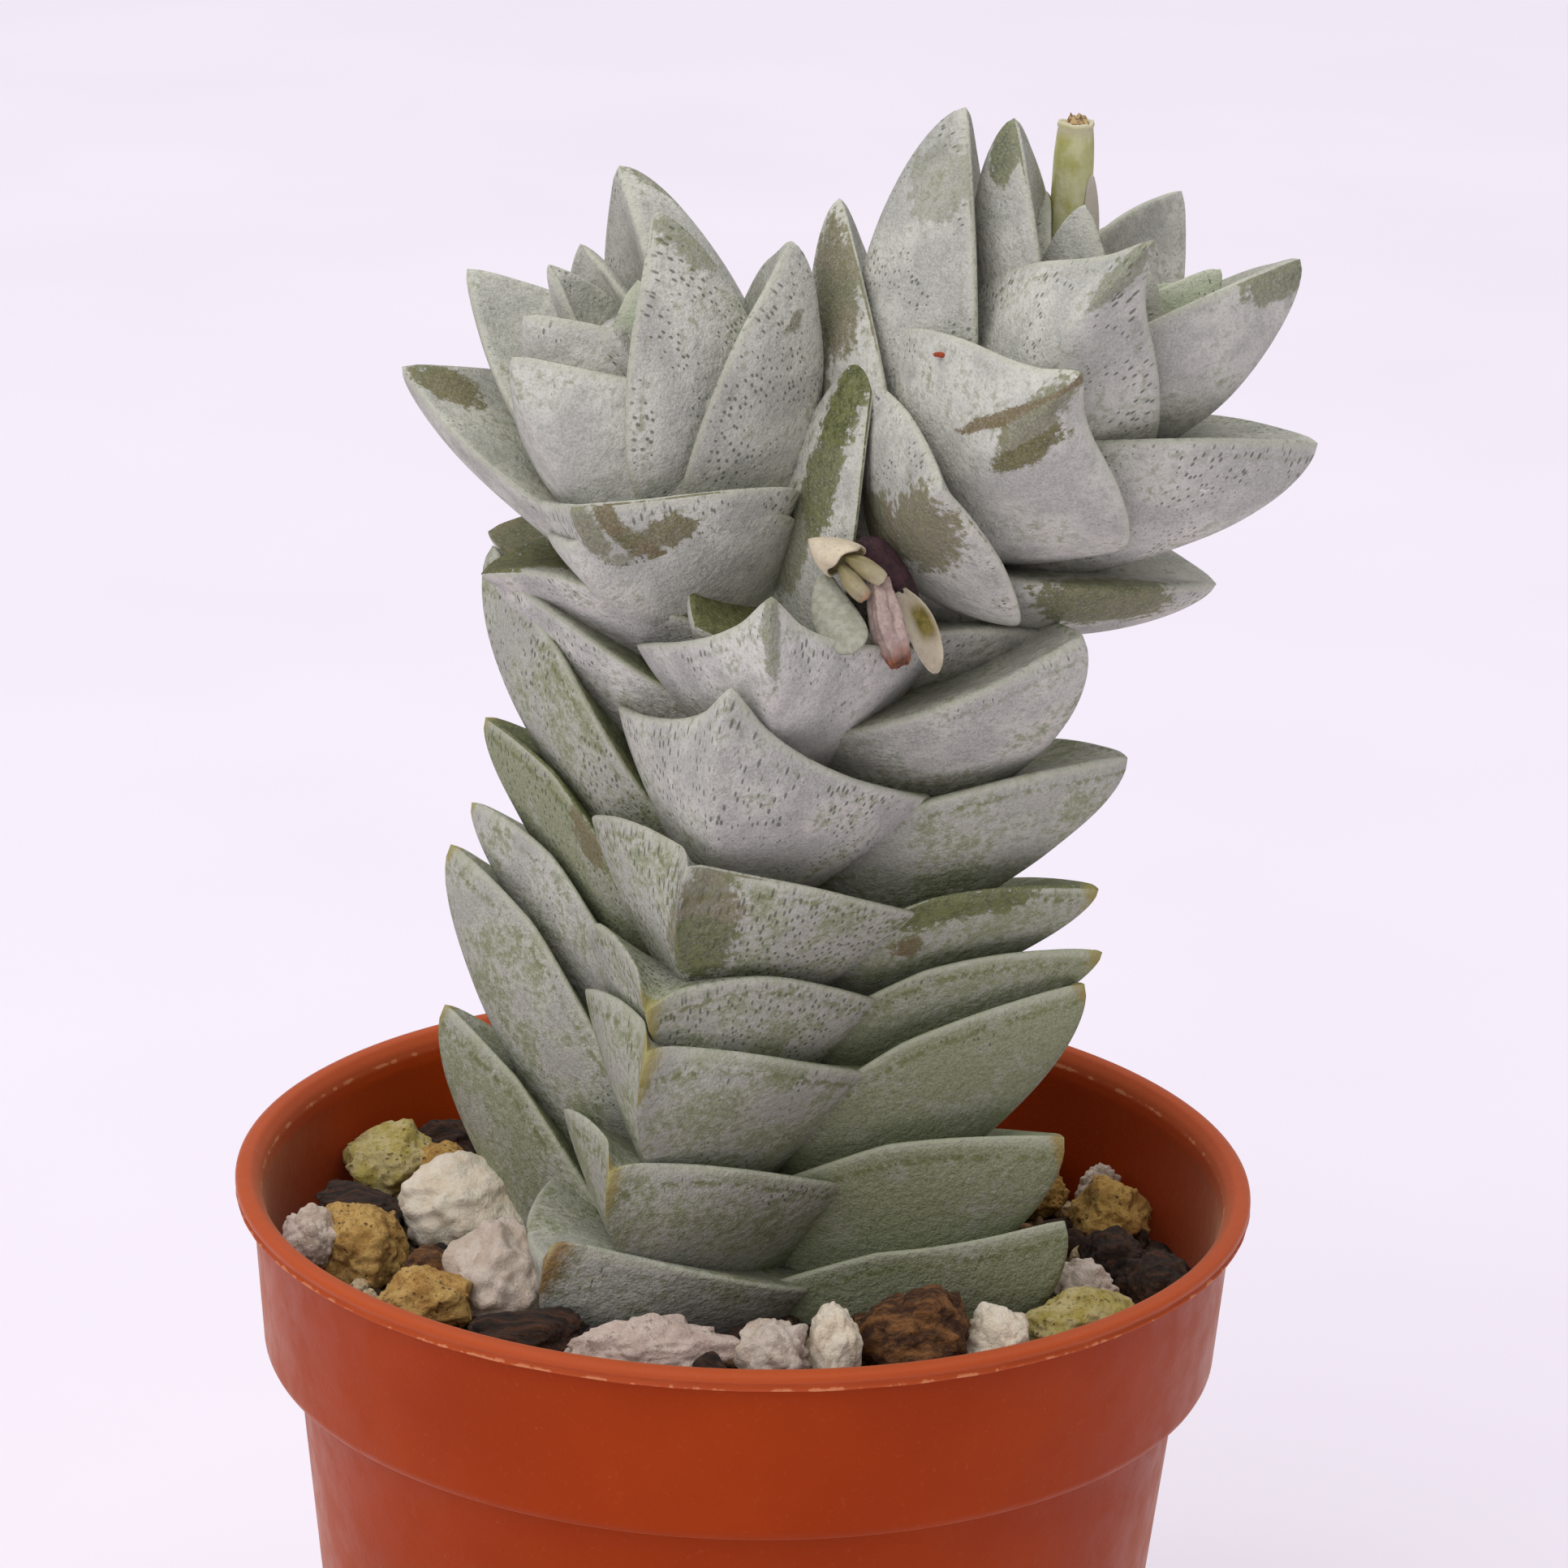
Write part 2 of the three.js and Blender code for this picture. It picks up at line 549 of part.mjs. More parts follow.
// The cut stalk of an earlier flower stands in the right head.
function flowerStalk() {
  const foot = new THREE.Vector3(15.4, 1.2, 93);
  const top = new THREE.Vector3(15.6, 1.2, 107.3);
  const points = [foot, foot.clone().lerp(top, 0.45), foot.clone().lerp(top, 0.9), top];
  const stalk = rodSolid(points, [1.3, 1.2, 1.15, 0.95], 10);
  const torn = [];
  for (let i = 0; i < 4; i += 1) {
    const a = (2 * Math.PI * i) / 4 + 0.4;
    const reach = 0.5 + 0.25 * Math.sin(3 * i + 1);
    const flap = new THREE.ConeGeometry(0.45, 1.5, 4).rotateX(Math.PI / 2);
    flap.translate(reach * Math.cos(a), reach * Math.sin(a), 0.35 + 0.2 * Math.cos(2 * i));
    flap.translate(top.x, top.y, top.z);
    torn.push(toSolid(flap));
  }
  return fuse([stalk, ...torn]);
}

// Each plant solid is cut a gap clear of the ones before it.
const column = columnLeaves();
const leftLeaves = branchLeaves(LEFT_BRANCH, LEFT_HEAD);
const rightLeaves = branchLeaves(RIGHT_BRANCH, RIGHT_HEAD);

const columnSolid = mainBody(fuse([columnRod(0), ...column.map((leaf) => leafSolid(leaf))]));
const columnClear = clearOf(columnSolid, columnRod(GAP), column);

const leftWhole = fuse([branchRod(LEFT_BRANCH, 0), ...leftLeaves.map((leaf) => leafSolid(leaf))]);
const leftSolid = mainBody(leftWhole.subtract(columnClear));
const leftClear = clearOf(leftSolid, branchRod(LEFT_BRANCH, GAP), leftLeaves);

const rightWhole = fuse([branchRod(RIGHT_BRANCH, 0), ...rightLeaves.map((leaf) => leafSolid(leaf))]);
const rightSolid = mainBody(rightWhole.subtract(columnClear).subtract(leftClear));
const rightClear = clearOf(rightSolid, branchRod(RIGHT_BRANCH, GAP), rightLeaves);

const plantClear = columnClear.add(leftClear).add(rightClear);
const bractSolid = mainBody(spentBracts().subtract(plantClear));
const stalkSolid = mainBody(flowerStalk().subtract(plantClear));

const room = insideSolid(POT_HEIGHT - 2.2);
let soilSolid = room.intersect(underSoilTop()).subtract(columnClear);
const stones = [];
const stoneGrown = [];
for (const row of GRIT) {
  let stone = stoneSolid(row, 0).subtract(columnClear);
  if (Math.hypot(row[1], row[2]) + Math.max(row[4], row[5]) > 23) {
    stone = stone.intersect(room);
  }
  for (const other of stoneGrown) {
    const apart = Math.hypot(row[1] - other.x, row[2] - other.y);
    if (apart < other.size + Math.max(row[4], row[5]) + 1) {
      stone = stone.subtract(other.solid);
    }
  }
  const grown = stoneSolid(row, GAP);
  stones.push({ name: row[0], solid: mainBody(stone) });
  stoneGrown.push({ x: row[1], y: row[2], size: Math.max(row[4], row[5]), solid: grown });
  soilSolid = soilSolid.subtract(grown);
}
soilSolid = mainBody(soilSolid);

const root = new THREE.Group();
root.name = 'potted_crassula';

function addPart(name, solid, color, roughness) {
  const material = new THREE.MeshStandardMaterial({ color, roughness, metalness: 0 });
  const mesh = new THREE.Mesh(fromSolid(solid), material);
  mesh.name = name;
  root.add(mesh);
}

addPart('pot', potSolid(), 0xa5451f, 0.45);
addPart('compost', soilSolid, 0x33241b, 0.95);
for (const stone of stones) {
  addPart(stone.name, stone.solid, GRIT_COLORS[stone.name.split('_')[0]], 0.95);
}
addPart('column', columnSolid, 0x969c90, 0.7);
addPart('left_head', leftSolid, 0xa3a49f, 0.7);
addPart('right_head', rightSolid, 0xa3a49f, 0.7);
addPart('spent_bracts', bractSolid, 0xb9a98d, 0.8);
addPart('flower_stalk', stalkSolid, 0xa9ad7c, 0.7);

export default root;
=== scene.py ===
"""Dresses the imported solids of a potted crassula: leaves, pot, compost, grit and spent flower.

Lengths are in millimetres until a mesh is made, and +Z is up. Azimuth 0 points to the front
(-Y) and 90 to the right (+X). The leaf rule and the places of leaves and stones are those of
the solids, drawn with many more points.
"""
import math

import bmesh
import bpy
import numpy as np
from mathutils import Matrix, Vector, noise


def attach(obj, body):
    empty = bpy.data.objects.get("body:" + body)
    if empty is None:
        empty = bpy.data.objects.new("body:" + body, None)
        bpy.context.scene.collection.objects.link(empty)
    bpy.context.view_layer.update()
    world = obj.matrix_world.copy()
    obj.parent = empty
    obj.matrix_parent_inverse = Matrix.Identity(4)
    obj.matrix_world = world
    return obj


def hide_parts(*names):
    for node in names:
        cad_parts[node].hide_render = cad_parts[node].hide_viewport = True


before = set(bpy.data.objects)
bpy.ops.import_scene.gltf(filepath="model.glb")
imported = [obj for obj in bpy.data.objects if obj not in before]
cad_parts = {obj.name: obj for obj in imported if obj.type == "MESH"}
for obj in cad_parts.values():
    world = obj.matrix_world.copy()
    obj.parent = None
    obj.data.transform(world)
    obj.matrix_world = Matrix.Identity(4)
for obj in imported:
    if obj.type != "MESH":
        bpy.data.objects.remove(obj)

MM = 0.001
RAD = math.pi / 180
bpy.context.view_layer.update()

# The pot.
POT_HEIGHT = 50
RIM_RADIUS = 27.5
BASE_RADIUS = 19.6
WALL = 0.7
FLOOR = 0.8
STEP_Z = 40.2
BODY_SLOPE = 0.1075
BAND_RADIUS = 25.85
BAND_SLOPE = 0.08
DRAIN_HOLES = 4
DRAIN_RADIUS = 2.2
DRAIN_RING = 12.5
POT_SIDES = 216
RIBS = 6
RIB_LENGTH = 5.5

# The grit surface is a plane that rises to the front and to the left.
GRIT_LEVEL = 44.8
GRIT_RISE_LEFT = 0.03
GRIT_RISE_FRONT = 0.09
SOIL_BELOW_GRIT = 0.9

# The plant: one stem that forks, and the shape that all its leaves share.
STEM_LEAN = 5
FORK_Z = 81
LEAF_CUP = 1.2
STEM_LINE = [(0.3, 37), (0.3, 44), (0.6, 52), (1.2, 60), (1.7, 68), (2.2, 76), (2.0, 84)]
LEFT_BRANCH = ((1, -0.5, FORK_Z), (-9, -1.5, 96.5))
RIGHT_BRANCH = ((2.5, -0.5, FORK_Z), (19, -2, 97))

# Each leaf: where it roots, then azimuth, reach, rise, width, thickness, roll,
# droop of the tip and bow of the midrib. Column leaves root at a height.
FRONT_LEAVES = [
    (45.5, -35, 18.5, 5, 16, 7, -6, 0, -0.5),
    (49.5, -27, 17.5, 6, 16, 6, 2, 0.5, 0),
    (57, -22, 17.5, 5.5, 16, 7, -2, 0.5, -1),
    (59.5, -23, 17.5, 7, 16, 5.5, 2, 2.5, 0),
    (66, -18, 17.5, 6.5, 18, 6, -4, 0.5, -1),
    (73, -14, 17, 6, 17, 6.5, -6, -2, -2),
    (78, -8, 17, 6, 15.5, 5, 8, -2, -0.5),
]
RIGHT_LEAVES = [
    (43.5, 63, 18, 7, 15.5, 7.5, 0, -1.5, 0),
    (49, 64, 17.5, 7.5, 14, 7.5, 0, 0, 0),
    (52, 70, 17, 12.5, 15, 6, 3, 0, 0),
    (56.5, 74, 17.5, 10, 14.5, 3.5, -5, 0.5, 0),
    (62.5, 73, 17, 7.5, 15, 4, 0, 0.5, 0),
    (69, 77, 17.5, 8, 15, 6, -3, 0.5, 0),
    (77.5, 60, 16, 6, 15, 7.5, 18, -0.5, -1.5),
    (80.5, 80, 14.5, 2.5, 15.5, 5, 0, 1, 1),
]
LEFT_LEAVES = [
    (43, -108, 19, 12, 15, 7.5, 0, 0, 0),
    (49.5, -106, 19, 15.5, 15, 7, 2, 0.5, 0),
    (54.5, -107, 18, 13.5, 15, 4.5, 6, 1, 0),
    (62, -106, 17.5, 10.5, 15, 5.5, -3, 0.5, 0),
    (68.5, -101, 17.5, 12.5, 16, 7, -10, -1, -1),
    (75, -98, 17, 6.5, 15.5, 6, -3, 0.5, 0.5),
    (80, -94, 17, 2.5, 15.5, 4.5, 0, 1.5, 1),
]
# The back of the column repeats the front rank by a rule.
BACK_LEAVES = 7
BACK_FIRST = (46.5, 147)
BACK_STEP = (5.4, 4.5)
BACK_SHAPE = (17, 6.5, 15.5, 6, 0, 0.5, 0)

# Head leaves root at a distance along their branch.
LEFT_HEAD = [
    (6.5, -28, 10, 6.5, 15, 5.5, -17, 0, 0),
    (4.5, -38, 10, 7, 14, 5, -10, 0, 0.5),
    (7, -38, 6, 12.5, 14.5, 5.5, -4, -1, 0),
    (7.5, 79, 12, 10.5, 13.5, 5, 4, 0.5, 0.5),
    (8.5, 67, 7.5, 14, 14.5, 5.5, 12, 0, 0.5),
    (8, 129, 7, 16, 14, 6, -23, 0, 0.5),
    (6, -145, 10.5, 16, 12.5, 5.5, 21, -0.5, 0),
    (4.5, -114, 12, 15.5, 14, 5, 8, -0.5, 0.5),
    (11, -40, 3.5, 10.5, 10, 4, -7, 0, 0.5),
    (12, 24, 4.5, 7, 5.5, 3, -2, 0, 0.5),
    (12.5, -122, 0, 10, 4.5, 2.5, 0, 0, 0),
    (12, 145, 3, 10, 6.5, 2.5, -3, 0, 0),
    (12.5, 63, 4.5, 7.5, 5, 3, 0, 0, 0.5),
    (2.5, -117, 14, 7.5, 11.5, 4, 4, 0, 0.5),
    (3.5, 178, 13, 8, 14, 5.5, 0, 0, 0.5),
    (9, 172, 8, 10, 12, 5, 0, 0, 0.5),
]
RIGHT_HEAD = [
    (11.5, -21, 14, 9.5, 16, 5, 8, -0.5, -1),
    (15, -39, 11.5, 12, 12, 6, 17, -1, -1.5),
    (13.5, 79, 10, 13, 15, 6.5, -2, 0, 0.5),
    (18.5, 44, 3, 13.5, 13, 5, 40, 0, 0.5),
    (10.5, -92, 15, 14, 14.5, 6.5, -2, 0, 0),
    (16, -91, 13, 10, 11.5, 4, -4, 0, 0.5),
    (6, -99, 15.5, 10, 14.5, 4, 6, 0, 0.5),
    (6.5, 91, 13, 10.5, 14.5, 5, -2, 0, 0.5),
    (7.5, -21.5, 13.5, 6.5, 14.5, 3, -8, 1, -0.5),
    (0, -78, 10, 13, 14.5, 3.5, -15, -0.5, 0),
    (19, -80, 8, 7, 6, 3.5, 0, 0, 0.5),
    (17, 203, 9.5, 9, 9, 4, 2, 0, 0.5),
    (16, 196, 11, 12, 9.5, 4, 12, 0, 0),
    (20.5, -48, 5.5, 6, 6, 3.5, -6, 0, 0),
    (19.5, 74, 0, 9, 7, 3, 0, 0, 0.5),
    (22, 88, 0, 5, 5, 2.5, 0, 0, 0.5),
    (16, -109, 9, 8, 7, 3.5, 0, 0, 0.5),
    (0, -42, 11, -2, 12, 3.5, 8, 0, 1),
    (6, 170, 14, 7, 15, 5.5, 0, 0, 0.5),
    (11, 178, 12, 9, 13.5, 5.5, 0, 0, 0.5),
]

# Places where the bloom is rubbed off, by leaf: place along (0 to 1) and across (-1 to 1),
# half sizes along and across, turn in degrees, hue from 0 green to 1 brown, and strength.
RUBBED_UNDER = {
    "front_5": [
        (0.84, 0.22, 2.4, 1.9, 20, 0.0, 0.75), (0.9, 0.62, 1.6, 0.8, 0, 0.8, 0.6),
        (0.86, -0.2, 1.8, 0.5, 0, 0.8, 0.5),
    ],
    "front_4": [(0.72, -0.05, 1.6, 0.7, 0, 0, 0.6)],
    "front_7": [(0.95, 0.1, 1.4, 0.5, 0, 0, 0.5)],
    "left_4": [(0.56, 0.95, 1.6, 0.9, 20, 0.8, 0.7)],
    "left_head_1": [
        (0.87, 0.58, 1.9, 0.4, 37, 0.9, 0.8), (0.62, 0.42, 3.4, 0.45, 18, 0.9, 0.8),
        (0.74, 0.72, 1.0, 0.9, 0, 0.5, 0.75), (0.93, 0.2, 1.1, 0.8, 0, 0.5, 0.6),
        (0.66, 0.1, 2.4, 0.6, 25, 0.3, 0.5),
    ],
    "left_head_4": [(0.79, -0.5, 0.7, 0.4, 40, 0.5, 0.6)],
    "left_head_5": [(0.9, 0, 1.4, 1.4, 0, 0, 0.5)],
    "left_head_6": [(0.9, 0.2, 1.5, 1.2, 0, 0.3, 0.5)],
    "right_5": [(0.66, -0.97, 3.6, 1.0, 0, 0, 0.8), (0.5, -0.76, 0.9, 0.7, 0, 1, 0.8)],
    "right_head_7": [(0.76, 0.6, 3.2, 2.2, 0, 0.6, 0.7), (0.5, 0.2, 2.6, 2.4, 0, 0.7, 0.6)],
    "right_head_10": [
        (0.84, 0.56, 2.6, 1.4, 0, 0, 0.9), (0.62, 0.6, 3, 1.6, 0, 0.1, 0.8),
        (0.4, 0.5, 3, 1.6, 0, 0.2, 0.6),
    ],
    "right_head_9": [(0.42, -0.1, 3.2, 2.6, 0, 1, 0.7), (0.7, 0.2, 3.6, 2.6, 0, 0.45, 0.7)],
    "right_head_1": [
        (0.84, -0.31, 3.2, 0.36, 8, 0.9, 0.8), (0.88, 0.0, 1.7, 1.0, 0, 0.3, 0.65),
        (0.8, 0.2, 1.9, 0.8, 40, 0.35, 0.85),
    ],
    "right_head_8": [(0.62, -0.9, 3.6, 2.6, 0, 0.2, 0.8)],
    "right_head_5": [(0.84, 0.65, 1.8, 1.7, 0, 0, 0.35)],
    "right_head_6": [(0.92, 0.6, 1.8, 0.9, 0, 0, 0.7)],
    "right_head_2": [(0.93, 0, 1.2, 0.8, 0, 0, 0.5)],
    "right_head_4": [(0.93, -0.8, 1.6, 0.9, 0, 0, 0.6)],
}
RUBBED_ABOVE = {
    "left_4": [(0.8, 0.55, 5.5, 4, 0, 0, 0.8)],
    "left_head_8": [(0.88, -0.1, 2.0, 1.4, 0, 0.6, 0.8)],
    "left_head_14": [(0.75, 0, 5, 3.4, 0, 0.5, 0.8)],
    "left_7": [(0.8, 0, 4, 3, 0, 0.2, 0.9)],
    "right_5": [(0.7, -0.3, 6, 4, 0, 0, 0.8)],
    "right_head_8": [(0.62, -0.9, 3, 1.4, 0, 0.1, 0.7)],
    "right_head_18": [(0.7, 0, 6, 5, 0, 0.2, 0.9)],
}
# Tips that have dried to yellow or brown: leaf, reach of the stain and share of brown.
STAINED_TIPS = {
    "front_1": (1.7, 0.9), "front_2": (1.3, 0.25), "front_3": (1.4, 0.2), "front_4": (1.4, 0.15),
    "right_2": (1.2, 0.6), "right_3": (1.0, 0.5), "right_4": (1.6, 0.1), "right_5": (1.6, 0.1),
    "left_1": (1.0, 0.3), "left_2": (1.2, 0.1), "left_3": (1.0, 0.1), "left_4": (1.0, 0.2),
}

# Loose grit: name, look, centre x and y, lift above the grit plane, three half sizes
# and turn about the vertical. A row's number is the seed of its lumps.
GRIT = [
    ("pumice_cream_left", "cream", -15.3, 3, 1.1, 3.3, 2.8, 2.5, 10),
    ("pumice_white_front_left", "white", -12.6, -10.4, 0.9, 2.5, 2.3, 2.6, 60),
    ("pumice_tan_left", "tan", -20.4, -4.4, 0.8, 2.6, 2.3, 2.3, 95),
    ("pumice_green_left", "green", -20, 10.9, 0.6, 2.5, 2.2, 1.9, 20),
    ("pumice_ochre_left", "ochre", -16.6, 9.4, 0.5, 2, 1.8, 1.7, 130),
    ("pumice_white_wall_left", "white", -23, -5.6, 1.4, 1.2, 1.3, 1.5, 40),
    ("pumice_ochre_front_left", "tan", -16.6, -13.6, 0.7, 2.3, 1.8, 1.5, 25),
    ("bark_strip_left", "bark", -21.2, 2.2, 0.6, 1.9, 3, 1, 20),
    ("bark_front_left", "bark", -11.2, -17.4, 0.5, 2.7, 1.6, 1.1, 15),
    ("bark_lump_left", "bark_brown", -16.2, -8.2, 0.5, 1.4, 1.5, 1.4, 75),
    ("bark_back_left", "bark", -17.4, 15.4, 0.4, 2, 1.8, 1.5, 30),
    ("pumice_pink_front", "pink", -4.5, -19, 0.7, 3.5, 1.8, 1.5, 8),
    ("pumice_white_front", "white", 1.7, -18.8, 0.7, 1.6, 1.5, 1.6, 50),
    ("pumice_tall_front", "cream", 4.9, -17.6, 1, 1.3, 1.4, 2.1, 5),
    ("bark_lump_front", "bark_brown", 9, -15.2, 1, 2.7, 2.3, 2.3, 35),
    ("pumice_wedge_front", "cream", 13.4, -14.2, 0.7, 1.9, 1.5, 1.7, 140),
    ("pumice_stained_right", "green", 18.2, -10.4, 0.6, 3, 1.8, 1.5, 15),
    ("pumice_white_right", "white", 18.2, -4.6, 0.5, 1.8, 1.5, 1.4, 160),
    ("bark_lump_right", "bark", 20.4, 1, 0.3, 2, 1.8, 1.6, 70),
    ("bark_wall_right", "bark", 22.4, -3.4, 0.5, 1.5, 2, 1.6, 10),
    ("pumice_yellow_right", "ochre", 20.6, 8.6, 0.6, 2, 1.9, 1.9, 45),
    ("pumice_small_right", "ochre", 17, 12.6, 0.4, 1.3, 1.3, 1.3, 80),
    ("pumice_white_back_right", "white", 20.2, 13, 0.8, 1, 1, 1.3, 15),
    ("pumice_white_back", "white", 12.6, 19.6, 0.4, 1.7, 1.4, 1.4, 65),
    ("pumice_ochre_back", "ochre", 2.6, 21.8, 0.4, 2.3, 1.7, 1.6, 10),
    ("bark_lump_back", "bark", -7.4, 21.4, 0.4, 2.3, 1.8, 1.5, 25),
    ("pumice_cream_back", "cream", 7.6, 18.6, 0.6, 2, 1.7, 1.8, 35),
    ("pumice_tan_back", "tan", -12.2, 17, 0.6, 2.1, 1.8, 1.8, 120),
    ("bark_small_back", "bark", 16.6, 16.4, 0.3, 1.5, 1.2, 1.1, 55),
    ("pumice_white_back_left", "white", -2.4, 18.4, 0.5, 1.5, 1.4, 1.4, 15),
]


def shown(name, data):
    """A new object in the scene."""
    made = bpy.data.objects.new(name, data)
    bpy.context.scene.collection.objects.link(made)
    return made


def put(name, parts, material, replaced=()):
    """Makes one shown piece under the root body and hides the solids that it replaces. Each part has points
    in millimetres, faces and painted values, by point or one for all, and 0 where it names none."""
    faces, start = [], 0
    for p, f, _ in parts:
        faces += [tuple(i + start for i in face) for face in f]
        start += len(p)
    mesh = bpy.data.meshes.new(name)
    mesh.from_pydata([tuple(q) for q in np.vstack([part[0] for part in parts]) * MM], [], faces)
    for key in dict.fromkeys(key for part in parts for key in part[2]):
        numbers = [(v.get(key, 0.0), len(p)) for p, _, v in parts]
        numbers = np.concatenate([x if np.ndim(x) else np.full(count, float(x)) for x, count in numbers])
        flat = numbers.ndim == 1
        layer = mesh.attributes.new(key, "FLOAT" if flat else "FLOAT_VECTOR", "POINT")
        layer.data.foreach_set("value" if flat else "vector", numbers.astype(np.float32).ravel())
    mesh.polygons.foreach_set("use_smooth", [True] * len(mesh.polygons))
    mesh.materials.append(material)
    mesh.update()
    piece = shown(name, mesh)
    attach(piece, "root")
    if replaced:
        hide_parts(*replaced)
    return piece


def around(sides):
    """Evenly spaced turns, in radians."""
    return np.arange(sides) * 2 * math.pi / sides


def ring(radius, height, sides):
    """Points round the Z axis."""
    turns = around(sides)
    return np.stack([radius * np.cos(turns), radius * np.sin(turns), height + 0 * turns], 1)


def taken(mesh):
    """The points and faces of a bmesh, which is then freed."""
    points = np.array([v.co[:] for v in mesh.verts])
    faces = [tuple(v.index for v in face.verts) for face in mesh.faces]
    mesh.free()
    return points, faces


def skin_faces(rings, sides):
    """Quads along the rings, and a fan at each end to two points that follow them."""
    faces = []
    for i in range(rings - 1):
        for j in range(sides):
            k = (j + 1) % sides
            faces.append((i * sides + j, i * sides + k, (i + 1) * sides + k, (i + 1) * sides + j))
    first, last, end = rings * sides, rings * sides + 1, (rings - 1) * sides
    for j in range(sides):
        k = (j + 1) % sides
        faces.append((first, k, j))
        faces.append((end + j, end + k, last))
    return faces


def outward(points, faces):
    """The faces, turned over if they look inwards."""
    p = np.asarray(points, float)
    corners = np.array([face[:3] for face in faces])
    a, b, c = (p[corners[:, i]] - p.mean(0) for i in range(3))
    volume = (a * np.cross(b, c)).sum()
    return faces if volume > 0 else [tuple(reversed(face)) for face in faces]


# Materials.

def srgb(r, g, b):
    """A colour given in 0 to 255 display values, as linear light."""
    def linear(x):
        x /= 255
        return x / 12.92 if x <= 0.04045 else ((x + 0.055) / 1.055) ** 2.4
    return (linear(r), linear(g), linear(b), 1.0)


class Paint:
    """One procedural material. Each method adds a node and gives its output."""

    def __init__(self, name, roughness):
        self.material = bpy.data.materials.new(name)
        self.material.use_nodes = True
        self.tree = self.material.node_tree
        self.shader = self.tree.nodes["Principled BSDF"]
        self.set("Roughness", roughness)
        self.relief = None

    def set(self, name, value):
        self.shader.inputs[name].default_value = value

    def feed(self, socket, value):
        if isinstance(value, bpy.types.NodeSocket):
            self.tree.links.new(value, socket)
        else:
            socket.default_value = value

    def add(self, kind, inputs, output=0, **settings):
        node = self.tree.nodes.new("ShaderNode" + kind)
        for key, value in settings.items():
            setattr(node, key, value)
        for key, value in inputs.items():
            self.feed(node.inputs[key], value)
        return node.outputs[output]

    def stretched(self, place, factors):
        return self.add("VectorMath", {0: place, 1: factors}, operation="MULTIPLY")

    def millimetres(self, stretch=(1, 1, 1)):
        """Object coordinates in millimetres, stretched per axis."""
        return self.stretched(self.add("TexCoord", {}, "Object"), tuple(1000 / s for s in stretch))

    def height_mm(self):
        """Height above the pot's underside."""
        return self.add("SeparateXYZ", {0: self.millimetres()}, 2)

    def attribute(self, name, output="Fac"):
        return self.add("Attribute", {}, output, attribute_name=name)

    def noise(self, place, size, detail=3.0, rough=0.55):
        """Cloudy noise of this grain size, about 0.5 on average."""
        inputs = {"Vector": place, "Scale": 1 / size, "Detail": detail, "Roughness": rough}
        return self.add("TexNoise", inputs, "Fac")

    def cells(self, place, size, flat=False, jitter=1.0):
        """Distance to the nearest of scattered points, in cell sizes."""
        inputs = {"Vector": place, "Scale": 1 / size, "Randomness": jitter}
        return self.add("TexVoronoi", inputs, "Distance", voronoi_dimensions="2D" if flat else "3D")

    def math(self, operation, a, b=0.0):
        return self.add("Math", {0: a, 1: b}, operation=operation)

    def times(self, a, b):
        return self.math("MULTIPLY", a, b)

    def plus(self, a, b):
        return self.math("ADD", a, b)

    def step(self, value, low, high, first=0.0, last=1.0):
        """Rises smoothly from first to last as value goes from low to high."""
        inputs = {"Value": value, "From Min": low, "From Max": high, "To Min": first, "To Max": last}
        return self.add("MapRange", inputs, interpolation_type="SMOOTHSTEP")

    def mix(self, share, a, b):
        """Two colours, each a socket or display values from 0 to 255."""
        a, b = (srgb(*c) if isinstance(c, tuple) else c for c in (a, b))
        return self.add("Mix", {0: share, 6: a, 7: b}, 2, data_type="RGBA")

    def raise_by(self, height, distance):
        """Relief that is too fine for the mesh, in millimetres."""
        inputs = {"Distance": distance * MM, "Strength": 1.0, "Height": height}
        if self.relief:
            inputs["Normal"] = self.relief
        self.relief = self.add("Bump", inputs, "Normal")

    def done(self, colour, roughness=None):
        self.feed(self.shader.inputs["Base Color"], colour)
        if roughness is not None:
            self.feed(self.shader.inputs["Roughness"], roughness)
        if self.relief:
            self.feed(self.shader.inputs["Normal"], self.relief)
        return self.material


BLOOM_SHADE = (172, 170, 166)
BLOOM_LIGHT = (210, 207, 200)
BLOOM_DEEP = (136, 138, 128)
FLESH_GREEN = (112, 116, 72)
FLESH_DARK = (80, 86, 46)
FLESH_BROWN = (114, 98, 66)
OLD_LEAF = (150, 154, 124)
OLD_DEEP = (122, 130, 94)
YOUNG_LEAF = (188, 198, 168)
DOT = (84, 90, 78)
MARGIN = (190, 190, 172)
TIP_YELLOW = (158, 150, 84)
TIP_BROWN = (146, 106, 52)


